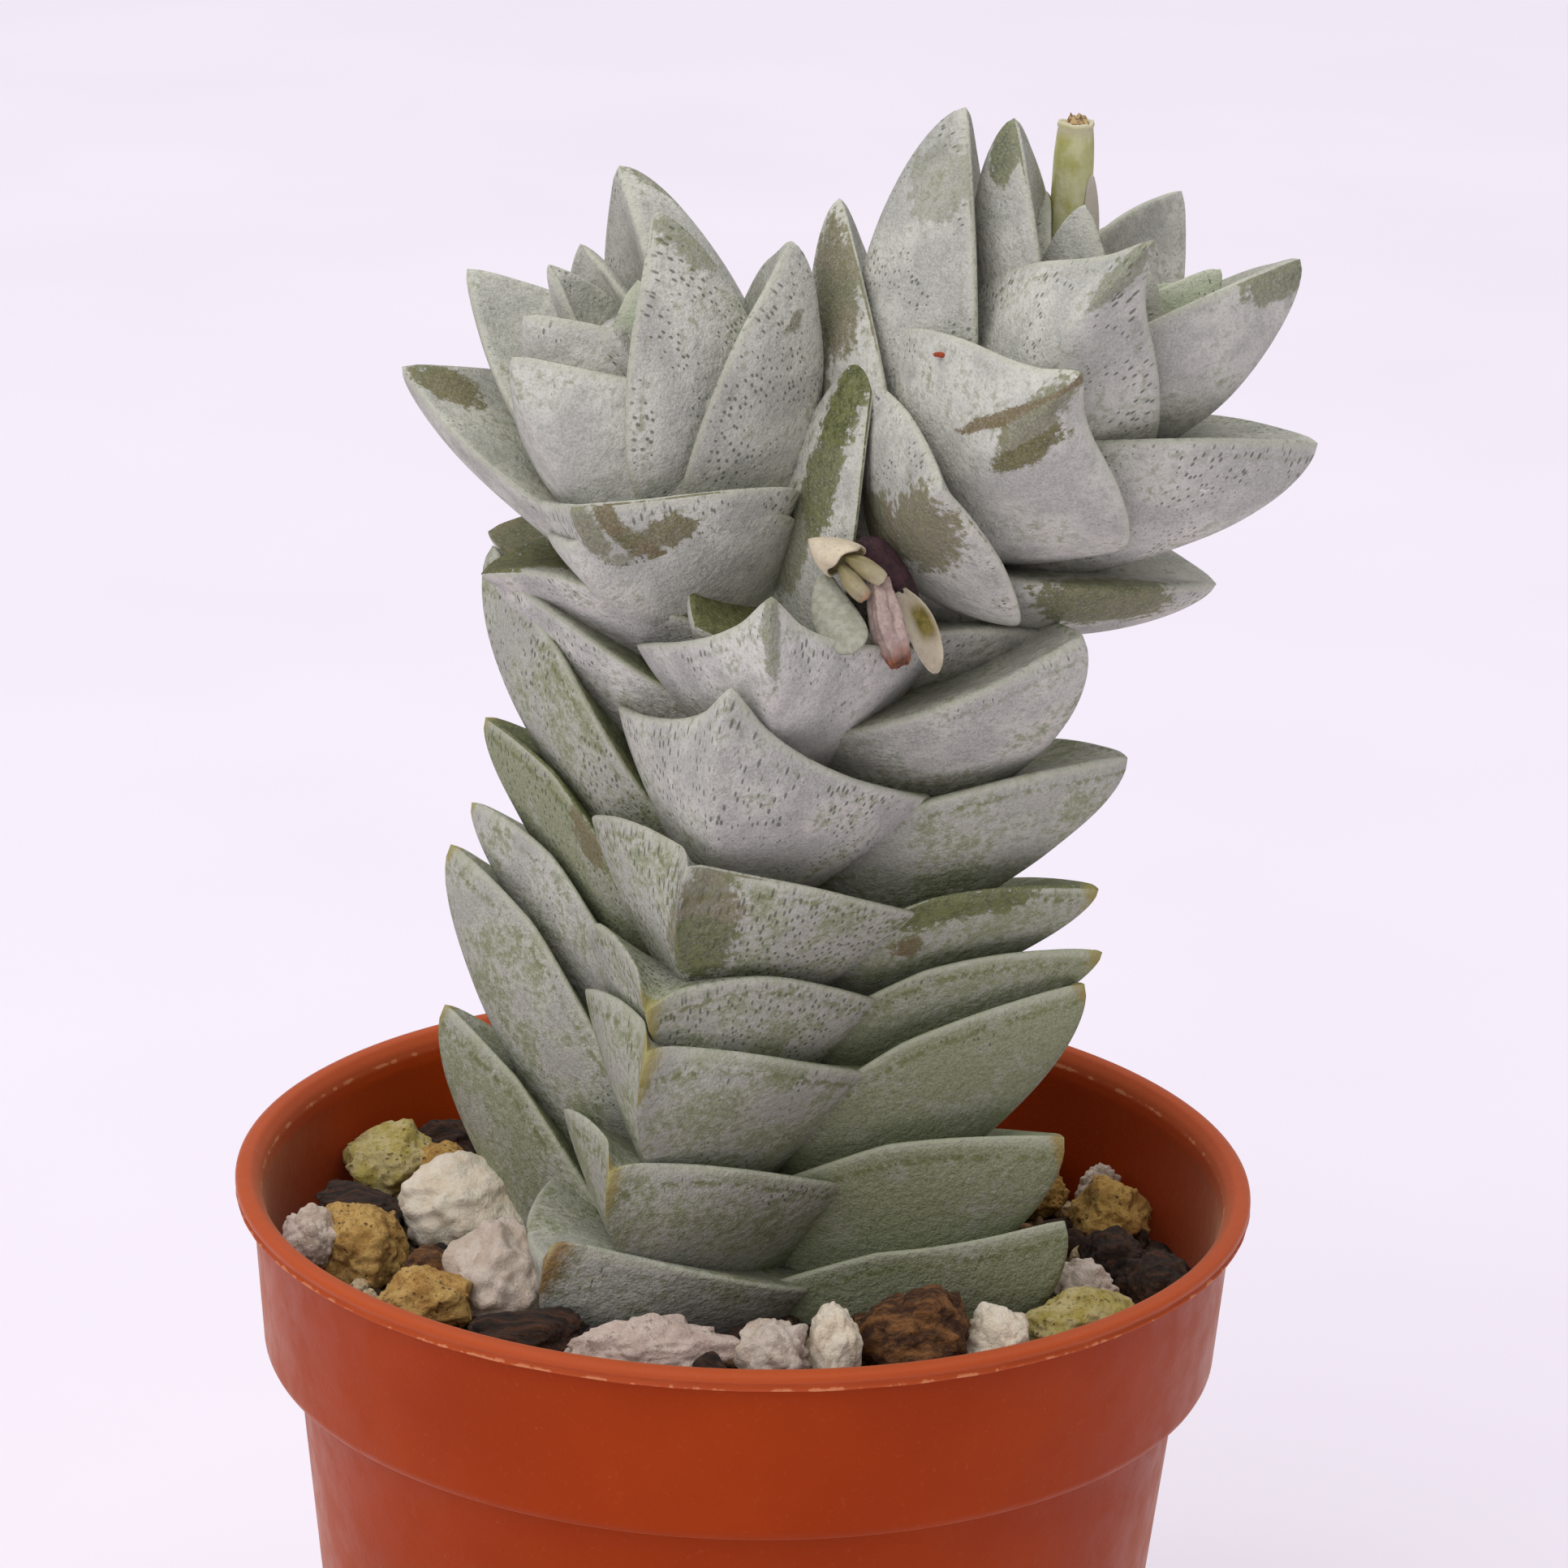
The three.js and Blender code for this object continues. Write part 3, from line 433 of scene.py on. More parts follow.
def leaf_paint():
    """Powdery bloom over green flesh: dotted, thinner and greener with age and where shade is painted in,
    and rubbed off in places.
    """
    p = Paint("leaf_bloom", 0.72)
    place = p.millimetres()
    on_leaf = p.attribute("leaf_place", "Vector")
    cloud = p.noise(place, 3.6, 3.0, 0.6)
    grain = p.noise(place, 0.5, 2.0, 0.7)
    dust = p.noise(place, 0.14, 2.0, 0.75)

    bloom = p.mix(p.step(cloud, 0.36, 0.64), BLOOM_SHADE, BLOOM_LIGHT)
    bloom = p.mix(p.step(dust, 0.42, 0.7, 0.0, 0.5), bloom, BLOOM_LIGHT)
    bloom = p.mix(p.step(dust, 0.3, 0.5, 0.45, 0.0), bloom, BLOOM_DEEP)
    bloom = p.mix(p.step(grain, 0.5, 0.72, 0.0, 0.35), bloom, BLOOM_DEEP)
    flesh = p.mix(p.step(grain, 0.35, 0.65), FLESH_DARK, FLESH_GREEN)
    flesh = p.mix(p.times(p.attribute("rub_hue"), p.step(cloud, 0.25, 0.5)), flesh, FLESH_BROWN)

    # This value greens and darkens the bloom with age, and for some ranks and leaves it also carries
    # painted shade and painted light.
    age_and_shade = p.attribute("age_and_shade")
    green = p.mix(p.step(dust, 0.35, 0.65), OLD_DEEP, OLD_LEAF)
    skin = p.mix(p.times(age_and_shade, 0.4), bloom, OLD_LEAF)
    thin = p.plus(p.times(age_and_shade, 0.72), p.step(cloud, 0.3, 0.7, -0.42, 0.42))
    thin = p.plus(thin, p.step(grain, 0.35, 0.65, -0.22, 0.22))
    skin = p.mix(p.step(thin, 0.15, 0.95, 0.0, 0.85), skin, green)
    skin = p.mix(p.attribute("young"), skin, YOUNG_LEAF)
    # Upper faces near the root take the flesh's green and dark green: partly their own colour, partly
    # painted shade under the leaf above.
    skin = p.mix(p.attribute("face"), skin, p.mix(p.step(grain, 0.3, 0.7), FLESH_GREEN, FLESH_DARK))

    margin = p.attribute("margin")
    bands = p.plus(p.noise(on_leaf, 3.0, 1.0), p.attribute("dotted"))
    bands = p.plus(bands, p.step(margin, 0.6, 2.0, 0.09, 0.0))
    reach = p.step(bands, 0.62, 1.0, -0.06, 0.19)
    dash = p.stretched(on_leaf, (0.85, 1.1, 1.0))
    dots = p.math("SUBTRACT", p.cells(dash, 0.5, flat=True, jitter=0.85), reach)
    dot = p.step(dots, -0.06, 0.05, 0.75, 0.0)
    skin = p.mix(dot, skin, DOT)

    # A darker green line in the groove inside the margin: the flesh's green showing, and painted shade of a
    # groove that the mesh does not have.
    groove = p.times(p.step(margin, 0.35, 0.5), p.step(margin, 0.55, 0.8, 1.0, 0.0))
    groove = p.times(groove, p.step(grain, 0.4, 0.6, 0.0, 0.75))
    groove = p.times(groove, p.step(age_and_shade, 0.0, 1.0, 0.22, 1.0))
    skin = p.mix(groove, skin, FLESH_GREEN)
    skin = p.mix(p.step(margin, 0.04, 0.26, 0.5, 0.0), skin, MARGIN)

    worn = p.attribute("rubbed")
    for ragged, share in ((grain, 0.9), (dust, 0.5), (cloud, 0.4)):
        worn = p.plus(worn, p.times(p.math("SUBTRACT", ragged, 0.5), share))
    worn = p.times(p.step(worn, 0.38, 0.56), p.attribute("rub_strength"))
    skin = p.mix(p.times(worn, p.step(dust, 0.45, 0.7, 1.15, 0.85)), skin, flesh)

    stain = p.mix(p.attribute("tip_brown"), TIP_YELLOW, TIP_BROWN)
    stained = p.plus(p.attribute("tip"), p.times(grain, 0.5))
    skin = p.mix(p.step(stained, 0.6, 1.15, 0.0, 0.8), skin, stain)

    p.raise_by(p.noise(place, 0.7, 3.0, 0.8), 0.2)
    p.set("Specular IOR Level", 0.22)
    return p.done(skin, p.step(worn, 0.0, 1.0, 0.8, 0.58))


def pot_paint():
    """Thin orange plastic with a soft sheen, dust, fine scuffs and a painted highlight on the lip."""
    p = Paint("pot_plastic", 0.42)
    place = p.millimetres()
    tone = p.step(p.noise(place, 14.0, 3.0), 0.3, 0.7)
    colour = p.mix(tone, (152, 50, 2), (162, 57, 4))
    dust = p.step(p.noise(place, 0.35, 3.0, 0.7), 0.58, 0.8, 0.0, 0.12)
    colour = p.mix(dust, colour, (205, 130, 92))
    scratch = p.cells(p.millimetres((9.0, 9.0, 0.8)), 1.0)
    scratched = p.times(p.step(scratch, 0.02, 0.06, 1.0, 0.0), p.step(p.noise(place, 5.0), 0.56, 0.64))
    colour = p.mix(p.times(scratched, 0.4), colour, (225, 180, 150))
    height = p.height_mm()
    # The lip is painted lighter orange towards its top: a painted highlight where light falls on it.
    lit_rim = p.step(height, POT_HEIGHT - 1.1, POT_HEIGHT - 0.8, 0.0, 0.4)
    colour = p.mix(lit_rim, colour, (206, 104, 64))
    worn = p.math("ABSOLUTE", p.math("SUBTRACT", height, POT_HEIGHT - 0.86))
    worn = p.plus(worn, p.step(p.noise(place, 1.4, 3.0, 0.7), 0.45, 0.6, 0.16, 0.0))
    colour = p.mix(p.step(worn, 0.05, 0.15, 0.6, 0.0), colour, (222, 150, 106))
    p.raise_by(p.noise(place, 1.2, 3.0), 0.03)
    p.raise_by(p.noise(place, 0.12, 2.0), 0.012)
    p.set("Specular IOR Level", 0.09)
    p.set("Sheen Weight", 0.25)
    p.set("Sheen Roughness", 0.35)
    p.set("Sheen Tint", srgb(255, 216, 184))
    roughness = p.step(p.noise(place, 2.0, 4.0), 0.3, 0.7, 0.34, 0.5)
    return p.done(colour, roughness)


def soil_paint():
    """Dark compost, brown where fibres show."""
    p = Paint("dark_compost", 0.95)
    place = p.millimetres()
    tone = p.step(p.noise(place, 0.8, 4.0, 0.7), 0.35, 0.7)
    colour = p.mix(tone, (38, 28, 20), (84, 62, 42))
    colour = p.mix(p.attribute("tone"), colour, (122, 92, 60))
    p.raise_by(p.noise(place, 0.4, 5.0, 0.7), 0.2)
    return p.done(colour)


def stone_paint(name, main, other, pore_shade, holes):
    """Porous stone: two colours in clouds, darkened in its pores and fine pits as painted shade where it
    has them.
    """
    p = Paint(name, 0.92)
    place = p.millimetres()
    colour = p.mix(p.step(p.noise(place, 1.3, 4.0, 0.65), 0.38, 0.62), main, other)
    grain = p.noise(place, 0.22, 3.0, 0.7)
    pores = p.step(p.cells(place, 0.36), 0.14, 0.34, 1.0, 0.0)
    pores = p.times(pores, p.step(p.noise(place, 0.8), 0.44, 0.6, 0.0, holes))
    # Pores and fine pits take a darker copy of the stone's colour: painted shade in the holes.
    colour = p.mix(pores, colour, pore_shade)
    colour = p.mix(p.step(grain, 0.3, 0.5, 0.35 * holes + 0.12, 0.0), colour, pore_shade)
    colour = p.mix(p.step(grain, 0.5, 0.75, 0.0, 0.5), colour, main)
    p.raise_by(p.noise(place, 0.4, 5.0, 0.75), 0.34)
    p.raise_by(p.times(pores, -1.0), 0.16)
    return p.done(colour)


def bark_paint(name, dark, light):
    """Dark fibrous bark, with painted highlights in patches."""
    p = Paint(name, 0.9)
    place = p.millimetres()
    fibres = p.noise(p.millimetres((3.5, 0.35, 0.8)), 1.0, 5.0, 0.7)
    colour = p.mix(p.step(fibres, 0.38, 0.68), dark, light)
    # Lighter brown patches: painted highlights on the fibres.
    colour = p.mix(p.step(p.noise(place, 0.7, 4.0, 0.7), 0.6, 0.75, 0.0, 0.5), colour, (124, 84, 50))
    p.raise_by(fibres, 0.3)
    p.raise_by(p.noise(place, 0.3, 4.0, 0.7), 0.12)
    return p.done(colour)


def flower_paint():
    """Papery dried bracts: cream, with green, mauve, olive and brown parts, and a dark part that is painted
    shade.
    """
    p = Paint("dried_bracts", 0.8)
    place = p.millimetres()
    grain = p.noise(place, 0.4, 4.0, 0.65)
    colour = p.mix(p.step(p.noise(place, 1.2), 0.35, 0.65), (218, 204, 178), (200, 184, 160))
    kinds = {
        "green": ((170, 170, 154), (152, 152, 134)), "mauve": ((186, 162, 156), (156, 130, 128)),
        "olive": ((104, 94, 28), (134, 122, 60)), "brown": ((84, 46, 30), (156, 96, 60)),
        # The dark kind is a purple-brown darkened as painted shade.
        "dark": ((44, 24, 28), (68, 38, 44)),
    }
    for kind, (first, second) in kinds.items():
        colour = p.mix(p.attribute(kind), colour, p.mix(p.step(grain, 0.38, 0.62), first, second))
    colour = p.mix(p.step(p.noise(place, 0.15, 3.0), 0.62, 0.7, 0.0, 0.4), colour, (96, 74, 52))
    p.raise_by(grain, 0.06)
    p.raise_by(p.noise(p.millimetres((0.2, 0.2, 1.5)), 1.0, 3.0), 0.04)
    p.set("Subsurface Weight", 0.15)
    p.set("Subsurface Radius", (0.9, 0.8, 0.5))
    p.set("Subsurface Scale", 0.6 * MM)
    return p.done(colour)


def stalk_paint():
    """Pale green stalk, yellower half way up, cream and brown where it is torn."""
    p = Paint("cut_stalk", 0.65)
    place = p.millimetres()
    streak = p.noise(p.millimetres((0.5, 0.5, 4.0)), 1.0, 4.0, 0.6)
    colour = p.mix(p.step(streak, 0.35, 0.65), (196, 196, 144), (214, 212, 174))
    colour = p.mix(p.step(p.noise(place, 2.5), 0.42, 0.62), colour, (176, 172, 94))
    colour = p.mix(p.step(p.noise(place, 0.16, 3.0), 0.58, 0.7, 0.0, 0.35), colour, (206, 206, 186))
    colour = p.mix(p.attribute("sheath"), colour, (186, 176, 166))
    colour = p.mix(p.attribute("dry"), colour, (206, 198, 168))
    plug = p.mix(p.step(p.noise(place, 0.25, 4.0), 0.4, 0.6), (110, 78, 44), (190, 160, 112))
    colour = p.mix(p.attribute("plug"), colour, plug)
    p.raise_by(streak, 0.05)
    p.raise_by(p.noise(place, 0.25, 4.0), 0.05)
    p.set("Subsurface Weight", 0.12)
    p.set("Subsurface Radius", (0.9, 1.0, 0.5))
    p.set("Subsurface Scale", MM)
    return p.done(colour)


# Leaves.

LEAF_RINGS = 38
TOP_POINTS = 13
UNDER_POINTS = 25
EDGE = 0.36
# Leaves with thin marks have this many times as many points each way.
FINE_LEAVES = ("left_head_1", "right_head_1", "right_head_9", "right_head_10", "front_5")
FINER = 2.4

# Leaves whose tip is pinched into an upturned nose, and how strongly.
PINCHED = {
    "front_5": 0.4, "front_6": 1.0, "front_7": 1.0, "right_head_1": 1.0, "right_head_2": 1.0,
    "left_head_1": 0.4, "left_head_4": 0.5, "left_head_5": 0.5, "right_head_4": 0.4,
}
USUAL_PINCH = 0.15

# How far the left and the right margin are raised beyond the middle, by rank of the column.
FOLD = {
    "front": (1.4, 0.4), "front_5": (1.0, 0.2), "front_1": (-1.9, 0.3), "left": (-1.6, 1.9),
    "right": (1.5, -1.3),
}
FOLD_START = {"front": 0.4, "left": 0.32, "right": 0.2}
FOLDED_UP_TO = 5
# The keeled under face is this much longer across than the leaf is wide.
KEEL_STRETCH = 1.3
# Under faces of the column reach down to the leaf below.
DEEPER = {"front": 1.25, "right": 1.12, "left": 1.12}

# How thickly a leaf is dotted. The rest have the usual share.
DOTTED = {
    "front_4": 0.4, "front_5": 0.48, "front_6": 0.34, "front_7": 0.26, "left_4": 0.38, "left_5": 0.36,
    "left_head_1": 0.34, "left_head_5": 0.34, "left_head_4": 0.33, "right_head_9": 0.2, "right_head_2": 0.3,
    "right_head_3": 0.32, "right_head_5": 0.26, "right_head_1": 0.1, "front_1": 0.14, "front_2": 0.16,
    "front_3": 0.24, "right_1": 0.1, "right_2": 0.1,
}
USUALLY_DOTTED = 0.17

# A leaf's age by its height, and how much older or younger a rank or a leaf looks than that. Part of these
# shifts is painted light and shade: the right rank and front_5 are painted darker as painted shade, and the
# left rank and front_1 lighter as painted light.
AGE_FROM_HEIGHT = 72
AGE_SPAN = 24
AGE_AND_SHADE_CAP = 1.35
AGE_AND_SHADE_SHIFT = {
    "front": 0.12, "right": 0.5, "left": -0.35, "back": 0.0, "left_4": 0.75, "left_5": 0.5,
    "front_1": -0.7, "front_2": -0.2, "front_5": 0.35, "front_6": 0.25,
}

# Small leaves in the heads' hearts, and how pale green they are.
YOUNG = {"left_head_13": 0.8, "right_head_15": 0.7, "right_head_16": 0.9}


def unit(v):
    return v / np.linalg.norm(v, axis=-1, keepdims=True)


def width_share(s):
    """Half width along the leaf: broad at the root, widest at a third, pointed at the tip."""
    root, widest = 0.7, 0.36
    rising = root + (1 - root) * np.sin(np.clip(s / widest, 0, 1) * math.pi / 2)
    u = np.clip((s - widest) / (1 - widest), 0, 1)
    return np.where(s < widest, rising, np.clip(1 - u ** 1.7, 0, 1) ** 0.85)


def leaf_section(finer):
    """Round the section, closer together at the margins: place across, and 1 for the under face."""
    top = np.sin(np.linspace(-90, 90, int(TOP_POINTS * finer)) * RAD)
    under = np.sin(np.linspace(90, -90, int(UNDER_POINTS * finer)) * RAD)[1:-1]
    return np.concatenate([top, under]), np.concatenate([0 * top, 0 * under + 1])


def rubbed_places(name, face, v, grid, wide, half, length):
    """How far each point is rubbed, its hue and the strength of the mark."""
    rubbed, hue, strength = np.zeros(wide.shape), np.zeros(wide.shape), np.zeros(wide.shape)
    under = (RUBBED_UNDER, (face > 0.5) | (np.abs(v) > 0.99), KEEL_STRETCH)
    for marks, hit, stretch in (under, (RUBBED_ABOVE, face < 0.5, 1.0)):
        for at, over, long, broad, turned, brown, strong in marks.get(name, ()):
            dx, dy = grid - at * length, wide - over * half * stretch
            c, k = math.cos(turned * RAD), math.sin(turned * RAD)
            r = np.hypot((dx * c + dy * k) / long, (dy * c - dx * k) / broad)
            fall = np.clip(1.15 - 0.65 * r, 0, 1) * hit
            hue = np.where(fall > rubbed, brown, hue)
            strength = np.where(fall > rubbed, strong, strength)
            rubbed = np.maximum(rubbed, fall)
    return rubbed, hue, strength


def leaf_values(leaf, seed, s, v, face, half, length):
    """What the leaf paint reads: each value by ring and point, then at the root and the tip."""
    stretch = np.where(face > 0.5, KEEL_STRETCH, 1.0)
    x = v * half
    wide, far = stretch * x, half * (1 - np.abs(v)) * stretch
    grid = np.broadcast_to(s * length, x.shape)
    offset = 41.0 * seed + 17.0 * (face > 0.5)
    # The upper face's green, strongest at the root: partly its own colour, partly painted shade under the
    # leaf above.
    green = np.where(face < 0.4, leaf["green_face"] * np.clip(1.6 - 1.5 * s, 0, 1), 0.0)
    rubbed, hue, strength = rubbed_places(leaf["name"], face, v, grid, wide, half, length)
    stain, stain_brown = STAINED_TIPS.get(leaf["name"], (0, 0.0))
    tip_mark = np.zeros(x.shape)
    if stain:
        tip_mark = np.clip(1.1 - np.hypot(length - grid, x) / (1.2 * stain), 0, 1)

    def column(numbers, at_tip):
        flat = np.broadcast_to(numbers, x.shape).reshape(-1)
        return np.concatenate([flat, [flat[0], at_tip]])

    along = column(grid + offset, length + offset[0])
    across = column(wide + 1.7 * offset, 1.7 * offset[0])
    return {
        "leaf_place": np.stack([along, across, 0 * along], 1),
        "margin": column(far, 0.0),
        "face": column(green, 0.0),
        "dotted": column(DOTTED.get(leaf["name"], USUALLY_DOTTED), 0.0),
        "age_and_shade": leaf["age_and_shade"],
        "young": leaf["young"],
        "rubbed": column(rubbed, rubbed[-1].max()),
        "rub_hue": column(hue, hue[-1].max()),
        "rub_strength": column(strength, strength[-1].max()),
        "tip": column(tip_mark, tip_mark[-1].max()),
        "tip_brown": column(stain_brown, 0.0),
    }


def leaf_mesh(leaf, seed):
    """Points, faces and painted values of one leaf."""
    azimuth, reach, rise, width, thick, roll, droop, bow = leaf["shape"]
    t = unit(np.array(leaf["axis"], float))
    e = np.array([math.sin(azimuth * RAD), -math.cos(azimuth * RAD), 0.0])
    e = unit(e - (e @ t) * t)
    n = np.cross(t, e)
    finer = FINER if leaf["name"] in FINE_LEAVES else 1
    count = int(LEAF_RINGS * finer)
    u = np.arange(count) / count
    s = (0.45 * u + 0.55 * np.sin(u * math.pi / 2))[:, None]

    pinch = PINCHED.get(leaf["name"], USUAL_PINCH)
    tip = reach * e + rise * t
    control = 0.5 * tip + bow * t
    nod = np.clip((s - 0.68) / 0.32, 0, 1)
    nose = np.clip((s - 0.8) / 0.2, 0, 1)
    sink = droop * nod * nod - 0.9 * pinch * nose * nose
    line = leaf["root"] + 2 * s * (1 - s) * control + s * s * tip - sink * t
    ahead = unit(np.gradient(line, axis=0))
    side = unit(n - (ahead @ n)[:, None] * ahead)
    up = np.cross(ahead, side)
    across = math.cos(roll * RAD) * side + math.sin(roll * RAD) * up
    above = math.cos(roll * RAD) * up - math.sin(roll * RAD) * side

    rank, number = leaf["name"].rsplit("_", 1)
    fold = FOLD.get(leaf["name"], FOLD.get(rank, (0, 0))) if int(number) <= FOLDED_UP_TO else (0, 0)
    beak = float(rank == "front" and int(number) <= FOLDED_UP_TO)
    v, face = leaf_section(finer)
    share = width_share(s) * (1 - (0.3 * pinch + 0.4 * beak) * np.clip((s - 0.72) / 0.2, 0, 1) ** 2)
    half = width / 2 * share
    depth = DEEPER.get(rank, 1) * thick * np.clip(1 - s * s, 0, 1) ** (0.64 - 0.2 * beak)
    edge = np.minimum(EDGE, 0.7 * half) * np.clip(1 - s ** 14, 0, 1) ** 0.5
    round_off = edge * np.sqrt(np.clip(1 - np.abs(v) ** 8, 0, 1))
    keel = 1.75 - (0.55 + 0.35 * beak) * s - 0.1 * pinch
    x = v * half
    middle = LEAF_CUP * share * v ** 2
    fade = np.clip(1 - s ** 14, 0, 1) ** 0.6 if beak else np.clip(1 - s ** 5, 0, 1)
    along = np.clip((s - FOLD_START.get(rank, 0)) / 0.42, 0, 1) * fade
    middle = middle + np.where(v < 0, fold[0], fold[1]) * np.abs(v) ** 1.5 * along
    z_top = middle + round_off
    z_under = middle - round_off - (depth - edge) * (1 - np.abs(v) ** keel)
    z = np.where(face > 0.5, z_under, z_top)

    phase = 2.4 * seed
    waves = np.sin(6.0 * s + phase + 2.0 * v) * np.cos(3.6 * v - 1.7 * phase)
    waves = waves + 0.6 * np.sin(11.0 * s - phase + 3.0 * v)
    z = z + 0.13 * waves * (1 - v ** 6) * np.clip(1.2 - s, 0, 1)
    points = line[:, None] + x[..., None] * across[:, None] + z[..., None] * above[:, None]

    rings, sides = x.shape
    end_point = leaf["root"] + tip - (droop - 0.9 * pinch) * t
    points = np.vstack([points.reshape(-1, 3), points[0].mean(0), end_point])
    faces = outward(points, skin_faces(rings, sides))

    return points, faces, leaf_values(leaf, seed, s, v, face, half, math.hypot(reach, rise))


def stem_x(z):
    xs, zs = zip(*STEM_LINE)
    return float(np.interp(z, zs, xs))


def column_leaves():
    lean = (math.sin(STEM_LEAN * RAD), 0, math.cos(STEM_LEAN * RAD))
    ranks = {"front": FRONT_LEAVES, "right": RIGHT_LEAVES, "left": LEFT_LEAVES}
    ranks["back"] = [
        (BACK_FIRST[0] + i * BACK_STEP[0], BACK_FIRST[1] + i * BACK_STEP[1]) + BACK_SHAPE
        for i in range(BACK_LEAVES)
    ]
    leaves = []
    for rank, rows in ranks.items():
        for i, (z, *shape) in enumerate(rows):
            name = f"{rank}_{i + 1}"
            # Age by height, shifted by rank and by leaf; some of the shifts are painted shade and painted
            # light.
            age_and_shade = (AGE_FROM_HEIGHT - z) / AGE_SPAN + AGE_AND_SHADE_SHIFT.get(name, AGE_AND_SHADE_SHIFT[rank])
            leaves.append({
                "name": name, "root": np.array([stem_x(z), 0.0, z]), "axis": lean, "shape": shape,
                "age_and_shade": max(0.0, min(AGE_AND_SHADE_CAP, age_and_shade)), "young": 0.0,
                "green_face": 0.95 if rank == "left" else 0.6,
            })
    return leaves


def head_leaves(head, branch, rows):
    start, end = (np.array(p, float) for p in branch)
    along = unit(end - start)
    leaves = []
    for i, (d, *shape) in enumerate(rows):
        name = f"{head}_{i + 1}"
        leaves.append({
            "name": name, "root": start + along * d, "axis": along, "shape": shape,
            "age_and_shade": 0.0, "young": YOUNG.get(name, 0.1), "green_face": 0.4,
        })
    return leaves


def rod(points, radii, sides):
    """A round rod through these points."""
    points = [np.array(p, float) for p in points]
    rings = []
    for i, p in enumerate(points):
        along = unit(points[min(i + 1, len(points) - 1)] - points[max(i - 1, 0)])
        x = unit(np.cross((0, 1, 0), along))
        y = np.cross(along, x)
        turns = around(sides)[:, None]
        rings.append(p + radii[i] * (np.cos(turns) * x + np.sin(turns) * y))
    points = np.vstack(rings + [points[0], points[-1]])
    return points, outward(points, skin_faces(len(rings), sides))


def stem_part(points, radii, age_and_shade):
    """A stem in the same values as the leaves."""
    p, faces = rod(points, radii, 24)
    return p, faces, {"leaf_place": p, "margin": 9, "age_and_shade": age_and_shade}


def plant(paint):
    stem = [(x, 0, z) for x, z in STEM_LINE]
    parts = [stem_part(stem, [2.6] + [4] * (len(stem) - 1), 1.0)]
    parts += [leaf_mesh(leaf, i + 1) for i, leaf in enumerate(column_leaves())]
    put("column_dressed", parts, paint, ["column"])
    heads = {"left_head": (LEFT_BRANCH, LEFT_HEAD, 40), "right_head": (RIGHT_BRANCH, RIGHT_HEAD, 60)}
    for head, (branch, rows, seed) in heads.items():
        middle = tuple((a + b) / 2 for a, b in zip(*branch))
        parts = [stem_part([branch[0], middle, branch[1]], [3.4, 3, 1.8], 0.0)]
        parts += [leaf_mesh(leaf, seed + i) for i, leaf in enumerate(head_leaves(head, branch, rows))]
        put(head + "_dressed", parts, paint, [head])


# Pot.

def body_radius(z):
    return BASE_RADIUS + 0.25 + BODY_SLOPE * z


def band_radius(z):
    return BAND_RADIUS + BAND_SLOPE * (z - STEP_Z)


def rounded(profile, radius=0.18, steps=3):
    """The same outline with each corner turned by a small arc."""
    count, made = len(profile), []
    for i, corner in enumerate(profile):
        before, after = np.array(profile[i - 1], float), np.array(profile[(i + 1) % count], float)
        corner = np.array(corner, float)
        if corner[0] == 0:
            made.append(corner)
            continue
        a, b = before - corner, after - corner
        cut = min(radius, np.linalg.norm(a) * 0.45, np.linalg.norm(b) * 0.45)
        p, q = corner + unit(a) * cut, corner + unit(b) * cut
        for k in range(steps + 1):
            w = k / steps
            made.append((1 - w) ** 2 * p + 2 * w * (1 - w) * corner + w * w * q)
    return made


def turned(profile, sides):
    """A closed body turned about Z from an outline of (radius, height) from axis to axis."""
    rings = [ring(r, z, sides) for r, z in profile[1:-1]]
    points = np.vstack(rings + [[(0, 0, profile[0][1])], [(0, 0, profile[-1][1])]])
    return points, skin_faces(len(rings), sides)


def box_part(size, centre, angle):
    """An upright box with rounded corners, turned about the Z axis."""
    mesh = bmesh.new()
    bmesh.ops.create_cube(mesh, size=1)
    bmesh.ops.scale(mesh, vec=size, verts=mesh.verts)
    bmesh.ops.bevel(mesh, geom=mesh.edges, offset=0.15, segments=2, affect="EDGES", profile=0.5)
    bmesh.ops.translate(mesh, vec=centre, verts=mesh.verts)
    bmesh.ops.rotate(mesh, matrix=Matrix.Rotation(angle, 3, "Z"), verts=mesh.verts)
    return *taken(mesh), {}


def drill(piece, x, y, radius):
    """Cuts a plain round hole through the floor of the pot."""
    mesh = bmesh.new()
    bmesh.ops.create_cone(mesh, cap_ends=True, segments=48, radius1=radius, radius2=radius, depth=4)
    bmesh.ops.translate(mesh, vec=(x, y, 0), verts=mesh.verts)
    bmesh.ops.scale(mesh, vec=(MM, MM, MM), verts=mesh.verts)
    data = bpy.data.meshes.new("drill")
    mesh.to_mesh(data)
    mesh.free()
    tool = shown("drill", data)
    cut = piece.modifiers.new("drain", "BOOLEAN")
    cut.operation, cut.solver, cut.object = "DIFFERENCE", "EXACT", tool
    bpy.context.view_layer.update()
    drilled = piece.evaluated_get(bpy.context.evaluated_depsgraph_get())
    piece.data = bpy.data.meshes.new_from_object(drilled)
    piece.modifiers.clear()
    bpy.data.objects.remove(tool)
    bpy.data.meshes.remove(data)


